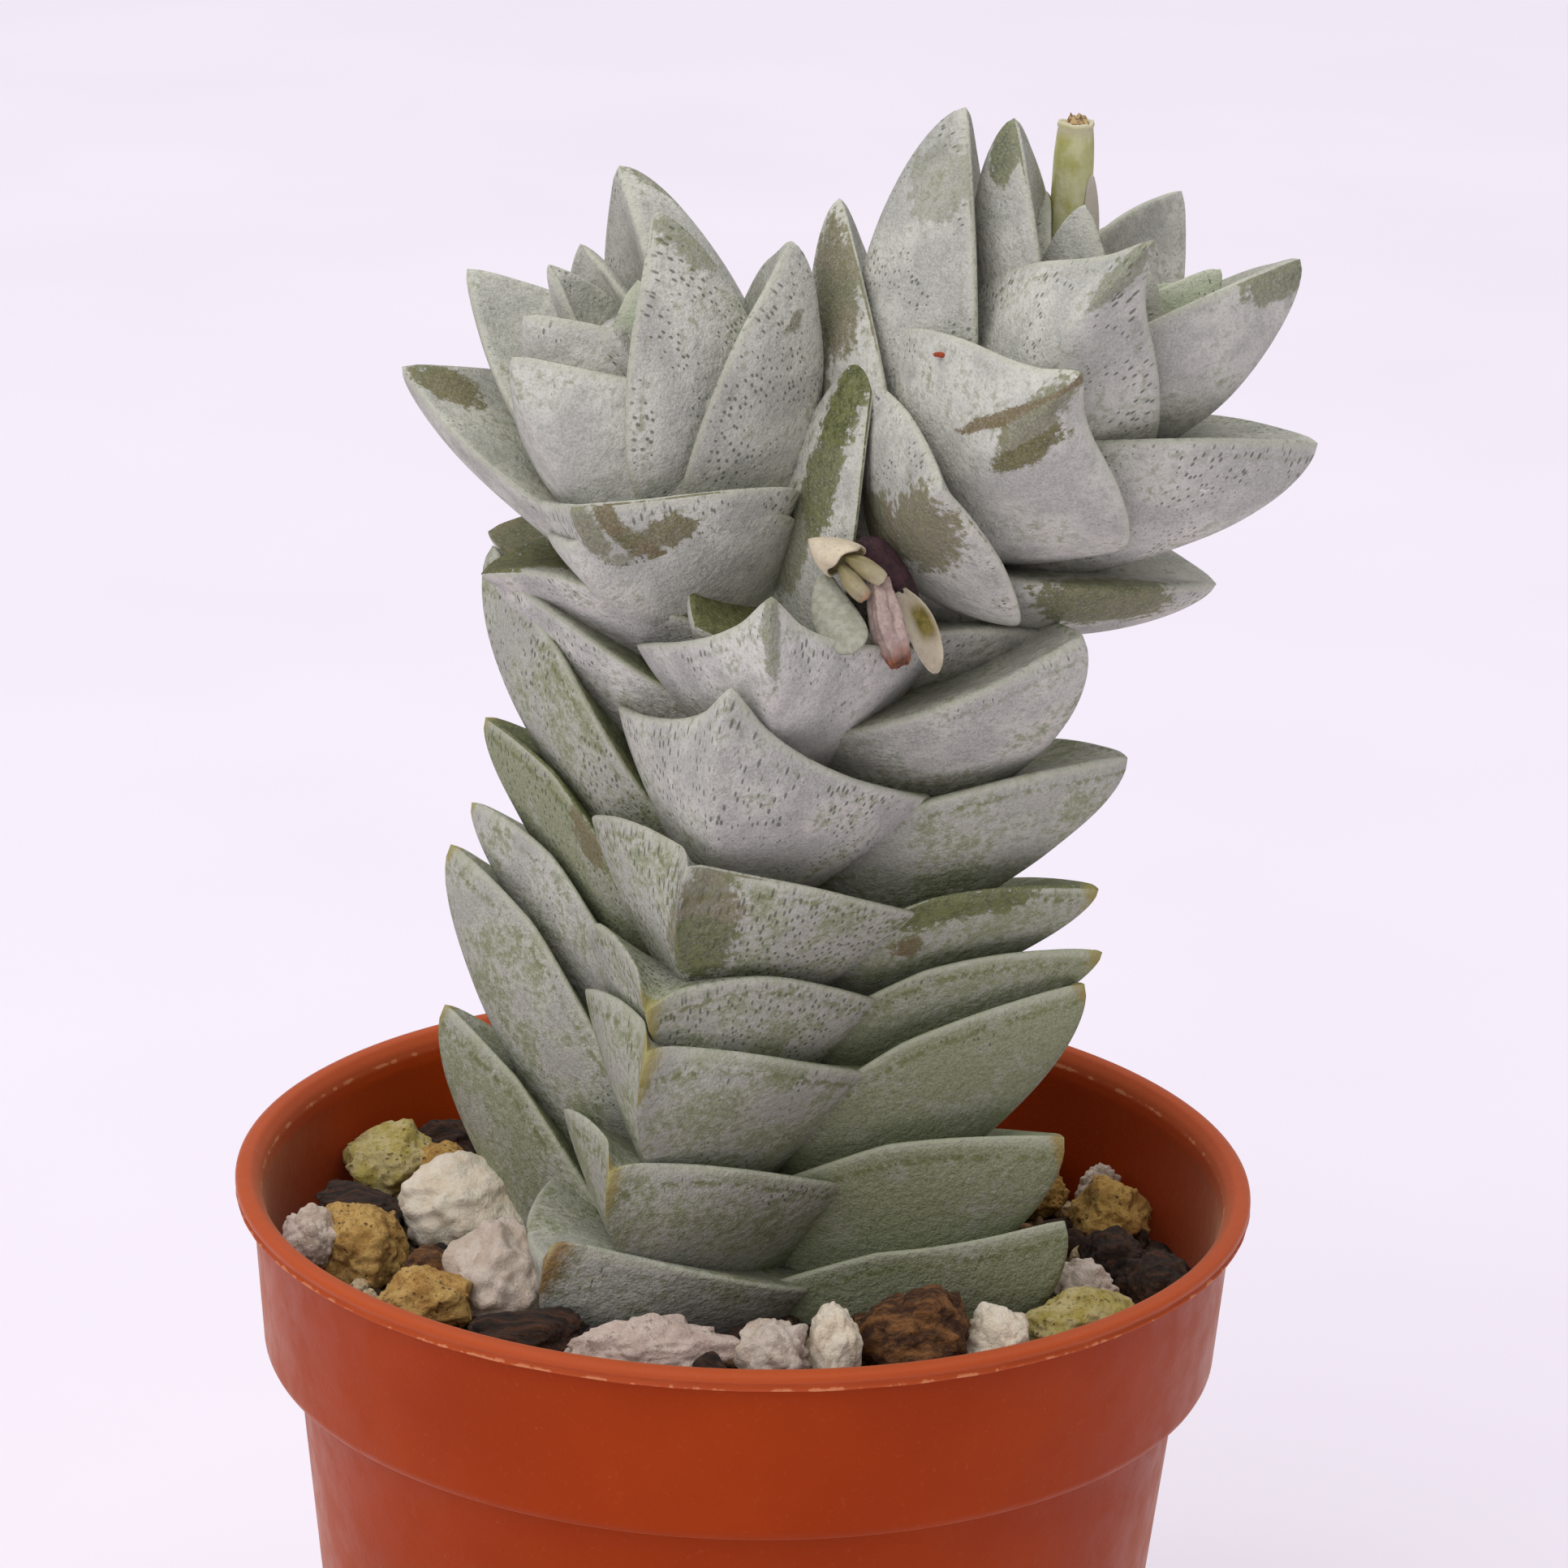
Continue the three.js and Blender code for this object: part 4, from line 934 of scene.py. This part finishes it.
def pot(paint):
    inside = STEP_Z + WALL
    top = POT_HEIGHT
    profile = [
        (0, 0),
        (BASE_RADIUS, 0),
        (body_radius(0.5), 0.5),
        (body_radius(STEP_Z - 0.15), STEP_Z - 0.15),
        (BAND_RADIUS - 0.2, STEP_Z - 0.1),
        (BAND_RADIUS + 0.02, STEP_Z + 0.3),
        (band_radius(top - 1.05), top - 1.05),
        (RIM_RADIUS - 0.25, top - 0.98),
        (RIM_RADIUS, top - 0.86),
        (RIM_RADIUS - 0.2, top - 0.72),
        (RIM_RADIUS - 0.22, top - 0.6),
        (RIM_RADIUS - 0.04, top - 0.45),
        (RIM_RADIUS - 0.08, top - 0.15),
        (RIM_RADIUS - 0.4, top),
        (RIM_RADIUS - 0.9, top),
        (RIM_RADIUS - 1.35, top - 0.5),
        (band_radius(top - 1.5) - WALL, top - 1.5),
        (band_radius(inside) - WALL, inside + 0.3),
        (band_radius(inside) - WALL - 0.3, inside),
        (body_radius(inside) - WALL, inside),
        (body_radius(FLOOR + 1) - WALL, FLOOR + 1),
        (body_radius(FLOOR) - WALL - 0.8, FLOOR),
        (0, FLOOR),
    ]
    outline = rounded(profile)
    tall = [outline[0]]
    for a, b in zip(outline, outline[1:]):
        pieces = max(1, int(np.linalg.norm(np.asarray(b) - a) / 3.5))
        tall += [np.asarray(a) + (np.asarray(b) - a) * (k + 1) / pieces for k in range(pieces)]
    points, faces = turned(tall, POT_SIDES)
    radius = np.hypot(points[:, 0], points[:, 1])
    angle = np.arctan2(points[:, 1], points[:, 0])
    burr = np.exp(-((points[:, 2] - (top - 0.86)) / 0.12) ** 2) * (radius > RIM_RADIUS - 0.3)
    ragged = np.sin(31 * angle + 2 * np.sin(7 * angle)) * np.sin(17 * angle + 1)
    shrink = 1 - burr * 0.06 * np.clip(ragged + 0.4, 0, 1) / RIM_RADIUS
    points[:, :2] *= shrink[:, None]
    points[:, 2] -= burr * 0.07 * np.clip(ragged, -0.3, 1)
    parts = [(points, outward(points, faces), {})]
    for i in range(RIBS):
        z = STEP_Z + 0.5 + RIB_LENGTH / 2
        centre = (band_radius(z) - WALL - 0.3, 0, z)
        parts.append(box_part((1.3, 0.6, RIB_LENGTH), centre, 2 * math.pi * i / RIBS + 12 * RAD))
    piece = put("pot_dressed", parts, paint, ["pot"])
    for i in range(DRAIN_HOLES):
        a = 2 * math.pi * (i + 0.5) / DRAIN_HOLES
        drill(piece, DRAIN_RING * math.cos(a), DRAIN_RING * math.sin(a), DRAIN_RADIUS)


# Compost and grit.

CRUMBS = 1100
FIBRES = 70
# Pumice: main colour, second colour, the painted shade of the pores and how open they are.
STONE_LOOKS = {
    "white": ((232, 216, 202), (216, 196, 178), (170, 150, 130), 0.12),
    "cream": ((255, 244, 224), (250, 232, 206), (196, 168, 134), 0.06),
    "pink": ((228, 208, 194), (212, 188, 174), (140, 112, 96), 0.35),
    "tan": ((218, 178, 106), (188, 142, 74), (96, 66, 34), 0.9),
    "green": ((206, 190, 134), (180, 162, 78), (104, 86, 40), 0.8),
    "ochre": ((204, 164, 88), (170, 126, 58), (90, 60, 30), 0.9),
    "bits": ((224, 204, 168), (180, 144, 88), (104, 78, 48), 0.6),
}


def grit_level(x, y):
    return GRIT_LEVEL - GRIT_RISE_LEFT * x - GRIT_RISE_FRONT * y


def soil_top(x, y):
    bumps = 0.28 * np.sin(0.9 * x + 0.4) * np.cos(0.8 * y) + 0.2 * np.sin(1.5 * x - 1.1 * y)
    return grit_level(x, y) - SOIL_BELOW_GRIT + bumps


def cloud(points, size, octaves=4, shift=0.0):
    """Fractal noise at these points, about -1 to 1."""
    return np.array([
        noise.fractal(Vector(p) / size + Vector((shift, 3.1 * shift, -shift)), 0.8, 2.0, octaves)
        for p in points
    ])


def ball(subdivisions):
    mesh = bmesh.new()
    bmesh.ops.create_icosphere(mesh, subdivisions=subdivisions, radius=1)
    return taken(mesh)


def lumps(p, seed):
    s = seed * 1.7
    slow = np.sin(2.3 * p[:, 0] + s) * np.cos(2.1 * p[:, 1] - s) + np.sin(2.6 * p[:, 2] + 2 * s)
    quick = np.sin(4.3 * p[:, 0] + 3 * s) * np.sin(4.7 * p[:, 1] + s) * np.cos(4.1 * p[:, 2] - s)
    return 1 + 0.09 * slow + 0.1 * quick


def inside_wall(points, clear=0.2):
    """Pulls points in where they would stand in the pot's wall."""
    limit = band_radius(points[:, 2]) - WALL - clear
    radius = np.hypot(points[:, 0], points[:, 1])
    points[:, :2] *= np.minimum(1, limit / np.maximum(radius, 1e-6))[:, None]
    return points


def chip(p, seed, rough, grain):
    """Radius factors that knap a ball into a broken lump."""
    flats = np.ones(len(p))
    draw = np.random.default_rng(seed)
    for _ in range(11):
        facing = unit(draw.normal(size=3))
        reach = draw.uniform(0.72, 0.95)
        flats = np.minimum(flats, reach / np.maximum(p @ facing, 0.3))
    return flats * (1 + rough * cloud(p, 0.6, 4, seed) + grain * cloud(p, 0.16, 3, seed + 9))


def stone(row, seed, paints):
    name, kind, x, y, lift, a, b, c, turned_by = row
    bark = kind.startswith("bark")
    p, faces = ball(5)
    shape = lumps(p, seed) * 1.06
    if bark:
        fibres = p * np.array((0.7, 2.6, 2.2))
        shape *= chip(p, seed, 0.12, 0.03) * (1 + 0.09 * cloud(fibres, 0.5, 4, seed))
    elif kind in ("white", "cream", "pink"):
        knobs = np.abs(cloud(p, 0.62, 2, seed)) + 0.4 * np.abs(cloud(p, 0.27, 2, seed + 5))
        knobbly = 0.2 if kind == "cream" else 0.32
        shape *= (0.5 + 0.5 * chip(p, seed, 0.06, 0.03)) * (0.95 + knobbly * knobs)
    else:
        shape *= chip(p, seed, 0.17, 0.06)
    p = p * shape[:, None] * np.array((a, b, c)) * 1.08
    co, si = math.cos(turned_by * RAD), math.sin(turned_by * RAD)
    spun = np.stack([co * p[:, 0] - si * p[:, 1], si * p[:, 0] + co * p[:, 1], p[:, 2]], 1)
    place = np.array((x, y, grit_level(x, y) + lift))
    points = inside_wall(spun + place)
    put(name + "_dressed", [(points, faces, {})], paints[kind], [name])


def soil_body():
    """The compost's body with a crumbly top, as one closed skin."""
    sides = 150
    low = [(FLOOR, -1.3, FLOOR + 0.3), (FLOOR + 1.2, -0.3, FLOOR + 1.4), (STEP_Z, -0.3, STEP_Z + 1)]
    rings = [ring(body_radius(level) - WALL + spare, z, sides) for level, spare, z in low]
    for r in np.linspace(band_radius(45) - WALL - 0.35, 2.0, 46):
        top = ring(r, 0, sides)
        crumbly = 0.35 * cloud(top, 1.6, 5) + 0.16 * cloud(top, 0.5, 3, 4.0)
        top[:, 2] = soil_top(top[:, 0], top[:, 1]) + crumbly
        rings.append(top)
    points = np.vstack(rings + [[(0, 0, FLOOR + 0.3)], [(0, 0, float(soil_top(0, 0)))]])
    return points, outward(points, skin_faces(len(rings), sides)), {}


def crumb(draw, p, faces):
    """One crumb of compost on the surface, from the points of a ball."""
    r, turn = 7 + 17.2 * draw.random() ** 0.7, draw.uniform(0, 2 * math.pi)
    x, y = r * math.cos(turn), r * math.sin(turn)
    size = draw.uniform(0.14, 0.5) * draw.uniform(0.6, 1.2, 3)
    seed = int(draw.integers(1000))
    at = np.array((x, y, soil_top(x, y) + 0.15 * draw.random()))
    shape = lumps(p, seed) * (1 + 0.25 * np.sin(7 * p[:, 0] + seed) * np.cos(6 * p[:, 2]))
    points = inside_wall(p * shape[:, None] * size + at, 0.35)
    tone, _ = draw.random(2)
    return points, faces, {"tone": tone}


def fibre(draw):
    """One bent fibre that lies on the compost."""
    r, turn = draw.uniform(9, 23.4), draw.uniform(0, 2 * math.pi)
    heading, long = draw.uniform(0, 2 * math.pi), draw.uniform(1.2, 4.5)
    line = []
    for w in np.arange(9) / 8 - 0.5:
        bend = heading + 0.9 * math.sin(2.2 * w + 5 * r)
        x = r * math.cos(turn) + w * long * math.cos(bend)
        y = r * math.sin(turn) + w * long * math.sin(bend)
        line.append((x, y, soil_top(x, y) + 0.25 + 0.35 * draw.random() * (1 - 4 * w * w)))
    points, faces = rod(line, [0.035] + [0.06] * 7 + [0.03], 5)
    tone, _ = draw.uniform((0.6, 0), (1, 0.5))
    return inside_wall(points, 0.3), faces, {"tone": tone}


def compost(paint):
    draw = np.random.default_rng(11)
    small = ball(2)
    parts = [soil_body()] + [crumb(draw, *small) for _ in range(CRUMBS)]
    put("compost_dressed", parts + [fibre(draw) for _ in range(FIBRES)], paint, ["compost"])


def grit_bits(name, paint, count, seed, sizes):
    """Small broken bits between the stones, drawn with a fixed seed."""
    draw = np.random.default_rng(seed)
    p0, faces = ball(4)
    parts = []
    while len(parts) < count:
        r, turn = 10 + 14 * draw.random() ** 0.75, draw.uniform(0, 2 * math.pi)
        x, y = r * math.cos(turn), r * math.sin(turn)
        size = draw.uniform(*sizes) * draw.uniform(0.7, 1.15, 3)
        number = int(draw.integers(1000))
        if any(math.hypot(x - row[2], y - row[3]) < 0.8 * max(row[5], row[6]) for row in GRIT):
            continue
        p = p0 * (lumps(p0, number) * chip(p0, number, 0.1, 0.03))[:, None] * size
        at = np.array((x, y, float(soil_top(x, y)) + 0.45 * size[2]))
        parts.append((inside_wall(p + at, 0.25), faces, {}))
        draw.random()  # A spare draw, so that the later ones stay as they are.
    put(name, parts, paint)


def grit():
    paints = {kind: stone_paint("pumice_" + kind, *look) for kind, look in STONE_LOOKS.items()}
    paints["bark"] = bark_paint("bark_dark", (26, 16, 10), (80, 48, 28))
    paints["bark_brown"] = bark_paint("bark_brown", (60, 34, 16), (142, 96, 52))
    for i, row in enumerate(GRIT):
        stone(row, i + 1, paints)
    grit_bits("pumice_bits", paints["bits"], 64, 21, (0.35, 0.95))
    grit_bits("bark_bits", paints["bark"], 90, 22, (0.4, 1.15))


# What is left of the flowers.

# Dried blades: three points, half width, cup, thickness, how blunt, widest place and hues.
BLADES = [
    (((4.2, -10.9, 87.6), (5.24, -11.6, 87.22), (6.23, -11.9, 86.6)), 0.5, 0.8, 0.22, 0.15, 0.5,
     {"olive": lambda s, v: 0.9 - 0.55 * s, "green": 0.3}),
    (((4.0, -11.0, 87.2), (4.61, -11.9, 86.55), (5.4, -12.3, 85.76)), 0.5, 0.8, 0.22, 0.15, 0.5,
     {"olive": lambda s, v: 0.85 - 0.55 * s, "brown": lambda s, v: 0.8 * s ** 6, "green": 0.3}),
    (((3.3, -10.6, 86.5), (3.8, -12.6, 85.1), (4.95, -14.8, 83.9)), 1.2, 0.45, 0.3, 0.6, 0.6,
     {"green": 1}),
    (((7.03, -10.0, 85.6), (8.24, -10.6, 83.6), (9.03, -10.2, 81.3)), 0.8, -0.7, 0.3, 0.7, 0.4,
     {"olive": lambda s, v: 1.2 * np.exp(-((s - 0.4) / 0.2) ** 4 - ((v + 0.35) / 0.55) ** 4),
      "green": 0.35}),
    # This blade is painted dark: its purple-brown darkened as painted shade, where it lies deep in the
    # shade of the flower.
    (((4.99, -9.4, 88.1), (6.5, -10.0, 86.7), (7.85, -9.9, 84.6)), 0.85, 0.5, 0.25, 0.3, 0.3,
     {"dark": 1}),
]
BLADES_FACE = (0.1, -1, 0.3)
TUBE_LINE = [
    (5.97, -10.8, 86.4), (6.2, -11.3, 85.3), (6.5, -11.7, 84.2), (6.9, -12.0, 83.1), (7.28, -12.2, 82.1),
]


def petal(line, half_width, cup, thick, blunt, widest, rules, facing):
    """A thin curved blade through three points, with the hues painted on it."""
    rings, across = 26, 13
    s = ((np.arange(rings) + 0.5) / rings)[:, None]
    root, middle, tip = (np.array(p, float) for p in line)
    bow = lambda q: root * (1 - q) * (1 - 2 * q) + middle * 4 * q * (1 - q) + tip * q * (2 * q - 1)
    ahead = unit(bow(s + 0.01) - bow(s - 0.01))
    side = unit(np.cross(ahead, np.array(facing, float)))
    out = np.cross(side, ahead)
    rise = 0.35 + 0.65 * np.sin(np.clip(s / widest, 0, 1) * math.pi / 2)
    fall = np.clip(1 - np.clip((s - widest) / (1 - widest), 0, 1) ** 2.2, 0, 1) ** blunt
    half = half_width * rise * fall
    v = np.linspace(-1, 1, across)
    v = np.concatenate([v, v[::-1]])
    sink = thick * (1 - 0.6 * v ** 2) * np.repeat([0.0, 1.0], across)
    z = 0.05 * np.sin(9 * s + 4 * v) * np.cos(3 * v) - cup * half * v ** 2 - sink
    points = bow(s)[:, None] + (half * v)[..., None] * side[:, None] + z[..., None] * out[:, None]
    points = np.vstack([points.reshape(-1, 3), root, tip])
    along = np.append(np.repeat(s, len(v)), [0, 1])
    wide = np.append(np.tile(v, rings), [0, 0])
    hues = {key: np.clip(rule(along, wide), 0, 1) if callable(rule) else rule
            for key, rule in rules.items()}
    return points, outward(points, skin_faces(rings, len(v))), hues


def hood():
    """A dried bract, closed at its tip and open to the lower right like a cap."""
    tip, top, low = (np.array(p) for p in ((2.36, -9.8, 88.09), (5.31, -10.6, 87.73), (3.63, -11.2, 86.58)))
    along = unit((top + low) / 2 - tip)
    up = unit((top - low) - ((top - low) @ along) * along)
    out = np.cross(up, along)
    rings, sides, outer, inner = 22, 40, [], []
    turns = around(sides)
    for i in range(rings):
        u = (i + 0.6) / rings
        radius = 1.08 * math.sin(min(u * 1.05, 1) * math.pi / 2) ** 0.8
        reach = u * (2.4 + 0.4 * np.cos(turns) + 0.1 * np.sin(5 * turns))
        spread = 1 + 0.05 * np.sin(6 * turns + 2) * u
        for wall, rows in ((0.0, outer), (0.14, inner)):
            r = max(radius - wall, 0.02) * spread
            x, y = (r * np.cos(turns))[:, None] * up, (0.85 * r * np.sin(turns))[:, None] * out
            rows.append(tip + reach[:, None] * along + x + y)
    rows = outer + inner[::-1]
    points = np.vstack(rows + [[tip], [tip + 0.1 * along]])
    olive = np.zeros(len(points))
    olive[rings * sides:-2] = 0.55
    return points, outward(points, skin_faces(len(rows), sides)), {"olive": olive}


def tube():
    """The withered flower: a folded mauve tube, brown at its end."""
    sides, count = 40, 24
    pairs = zip(TUBE_LINE, TUBE_LINE[1:])
    fine = [tuple(Vector(a).lerp(Vector(b), k / 6)) for a, b in pairs for k in range(6)]
    steps = range(count)
    radii = [0.5 + 0.3 * math.sin(math.pi * i / 26) - 0.2 * (i / (count - 1)) ** 8 for i in steps]
    points, faces = rod(fine, radii, sides)
    axis = np.repeat(np.array(fine), sides, axis=0)
    turn = np.tile(around(sides), count)
    folds = 1 + 0.16 * np.sin(4 * turn + 0.6) + 0.07 * np.sin(9 * turn)
    points[:-2] = axis + (points[:-2] - axis) * folds[:, None]
    along = np.append(np.repeat(np.linspace(0, 1, count), sides), [0, 1])
    points += 0.05 * cloud(points, 0.5)[:, None] * (1 + along)[:, None]
    return points, faces, {"mauve": 0.85, "brown": np.clip((along - 0.72) / 0.2, 0, 1)}


def spent_flower(paint):
    parts = [hood()] + [petal(*blade, BLADES_FACE) for blade in BLADES] + [tube()]
    put("spent_bracts_dressed", parts, paint, ["spent_bracts"])


# Stray grains on the bloom: name, place, size, colour.
SPECKS = [
    ("orange_speck", (8.62, -9.7, 97.78), 0.2, (176, 74, 34)),
    ("white_speck", (22.41, -7.2, 90.53), 0.17, (236, 234, 230)),
]


def specks():
    ball_points, faces = ball(3)
    for name, place, size, colour in SPECKS:
        p = Paint(name, 0.8)
        tone = p.step(p.noise(p.millimetres(), 0.1, 3.0), 0.3, 0.7)
        p.raise_by(p.noise(p.millimetres(), 0.08), 0.03)
        paint = p.done(p.mix(tone, tuple(0.7 * c for c in colour), colour))
        shape = ball_points * chip(ball_points, 3, 0.1, 0.05)[:, None] * size * np.array((1.6, 0.8, 0.8))
        put(name, [(shape + np.array(place), faces, {})], paint)


def cut_stalk(paint):
    """A pale cut stalk with a torn, dried end and a sheath at its foot."""
    foot, top, plug = np.array((15.25, 1.2, 93.0)), np.array((15.5, 1.2, 107.3)), np.array((0.12, 0, 0))
    sides, steps, rings, mark = 48, 40, [], []
    turns = around(sides)
    torn = 0.35 * np.sin(2 * turns + 0.5) + 0.3 * np.sin(5 * turns + 1) + 0.16 * np.sin(11 * turns)
    ridge = 1 + 0.02 * np.sin(7 * turns) + 0.012 * np.sin(12 * turns + 1)
    for u in np.arange(steps) / (steps - 1):
        r = 1.14 - 0.12 * u - 0.12 * max(0, (u - 0.86) / 0.14) ** 2
        rings.append(foot + (top - foot) * u + ring(r * ridge, 0, sides))
        mark.append(max(0, (u - 0.96) / 0.04))
    for r, lift, share in ((0.95, 0.1, 0.6), (0.9, 0.3, 1.0), (0.76, 0.28, 1.0), (0.7, -0.1, 1.0)):
        rings.append(top + ring(r * ridge, lift + torn * 0.1, sides))
        mark.append(share)
    for r in (0.55, 0.42, 0.28, 0.14):
        inner = top + plug + ring(r, 0.2, sides)
        inner[:, 2] += 0.5 * cloud(inner, 0.35, 3) + 0.7 * (0.6 - r)
        rings.append(inner)
        mark.append(2.0)
    points = np.vstack(rings + [[foot], [top + plug + (0, 0, 0.75)]])
    faces = outward(points, skin_faces(len(rings), sides))
    dry = np.append(np.repeat(mark, sides), [0, 2])
    stalk = (points, faces, {"dry": np.clip(dry, 0, 1), "plug": np.clip(dry - 1, 0, 1)})
    line = ((16.0, 0.7, 94.5), (16.75, 0.4, 100), (16.45, 0.6, 105.0))
    sheath = petal(line, 0.75, 0.5, 0.25, 0.5, 0.45, {"dry": 0.2, "sheath": 1}, (1, -0.8, 0))
    put("flower_stalk_dressed", [stalk, sheath], paint, ["flower_stalk"])


# Scene.

CAMERA_PLACE = (0, -278.72, 163.12)
CAMERA_PITCH = 18.13
CAMERA_YAW = 0.321
CAMERA_ROLL = 1.711
SENSOR = 36
FOCAL_SHARE = 6820 / 1932
FLOOR_HALF = 3.0
LAMPS_AIM = (0, 0, 0.06)


def camera():
    pitch, yaw, roll = CAMERA_PITCH * RAD, CAMERA_YAW * RAD, CAMERA_ROLL * RAD
    ahead = Vector((math.sin(yaw) * math.cos(pitch), math.cos(yaw) * math.cos(pitch), -math.sin(pitch)))
    right = ahead.cross(Vector((0, 0, 1))).normalized()
    up = right.cross(ahead)
    x = math.cos(roll) * right + math.sin(roll) * up
    y = math.cos(roll) * up - math.sin(roll) * right
    data = bpy.data.cameras.new("photo_view")
    data.sensor_width = SENSOR
    data.lens = SENSOR * FOCAL_SHARE
    data.clip_start, data.clip_end = 0.01, 20
    eye = shown("photo_view", data)
    turn = Matrix((x, y, -ahead)).transposed().to_4x4()
    eye.matrix_world = Matrix.Translation(Vector(CAMERA_PLACE) * MM) @ turn
    bpy.context.scene.camera = eye


def floor():
    mesh = bpy.data.meshes.new("floor")
    corners = [(x * FLOOR_HALF, y * FLOOR_HALF, 0) for x, y in ((-1, -1), (1, -1), (1, 1), (-1, 1))]
    mesh.from_pydata(corners, [], [(0, 1, 2, 3)])
    p = Paint("pale_floor", 0.9)
    tone = p.step(p.noise(p.millimetres(), 60.0, 2.0), 0.2, 0.8)
    mesh.materials.append(p.done(p.mix(tone, (240, 232, 243), (243, 236, 246))))
    shown("floor", mesh)


def lamp(name, place, size, power):
    """A soft square lamp that faces the plant."""
    data = bpy.data.lights.new(name, "AREA")
    data.shape, data.size, data.energy = "SQUARE", size, power
    light = shown(name, data)
    light.location = place
    light.rotation_mode = "QUATERNION"
    light.rotation_quaternion = (Vector(LAMPS_AIM) - Vector(place)).to_track_quat("-Z", "Y")


def lights():
    world = bpy.data.worlds.new("soft_room")
    world.use_nodes = True
    back = world.node_tree.nodes["Background"]
    back.inputs["Color"].default_value = (0.97, 0.95, 1.0, 1.0)
    back.inputs["Strength"].default_value = 0.35
    bpy.context.scene.world = world
    lamp("overhead", (0.0, 0.4, 2.6), 4.0, 66)
    lamp("front_left", (-0.8, -1.3, 1.1), 1.5, 15)
    view = bpy.context.scene.view_settings
    view.view_transform, view.look = "Standard", "None"


camera()
floor()
lights()
plant(leaf_paint())
pot(pot_paint())
compost(soil_paint())
grit()
spent_flower(flower_paint())
cut_stalk(stalk_paint())
specks()
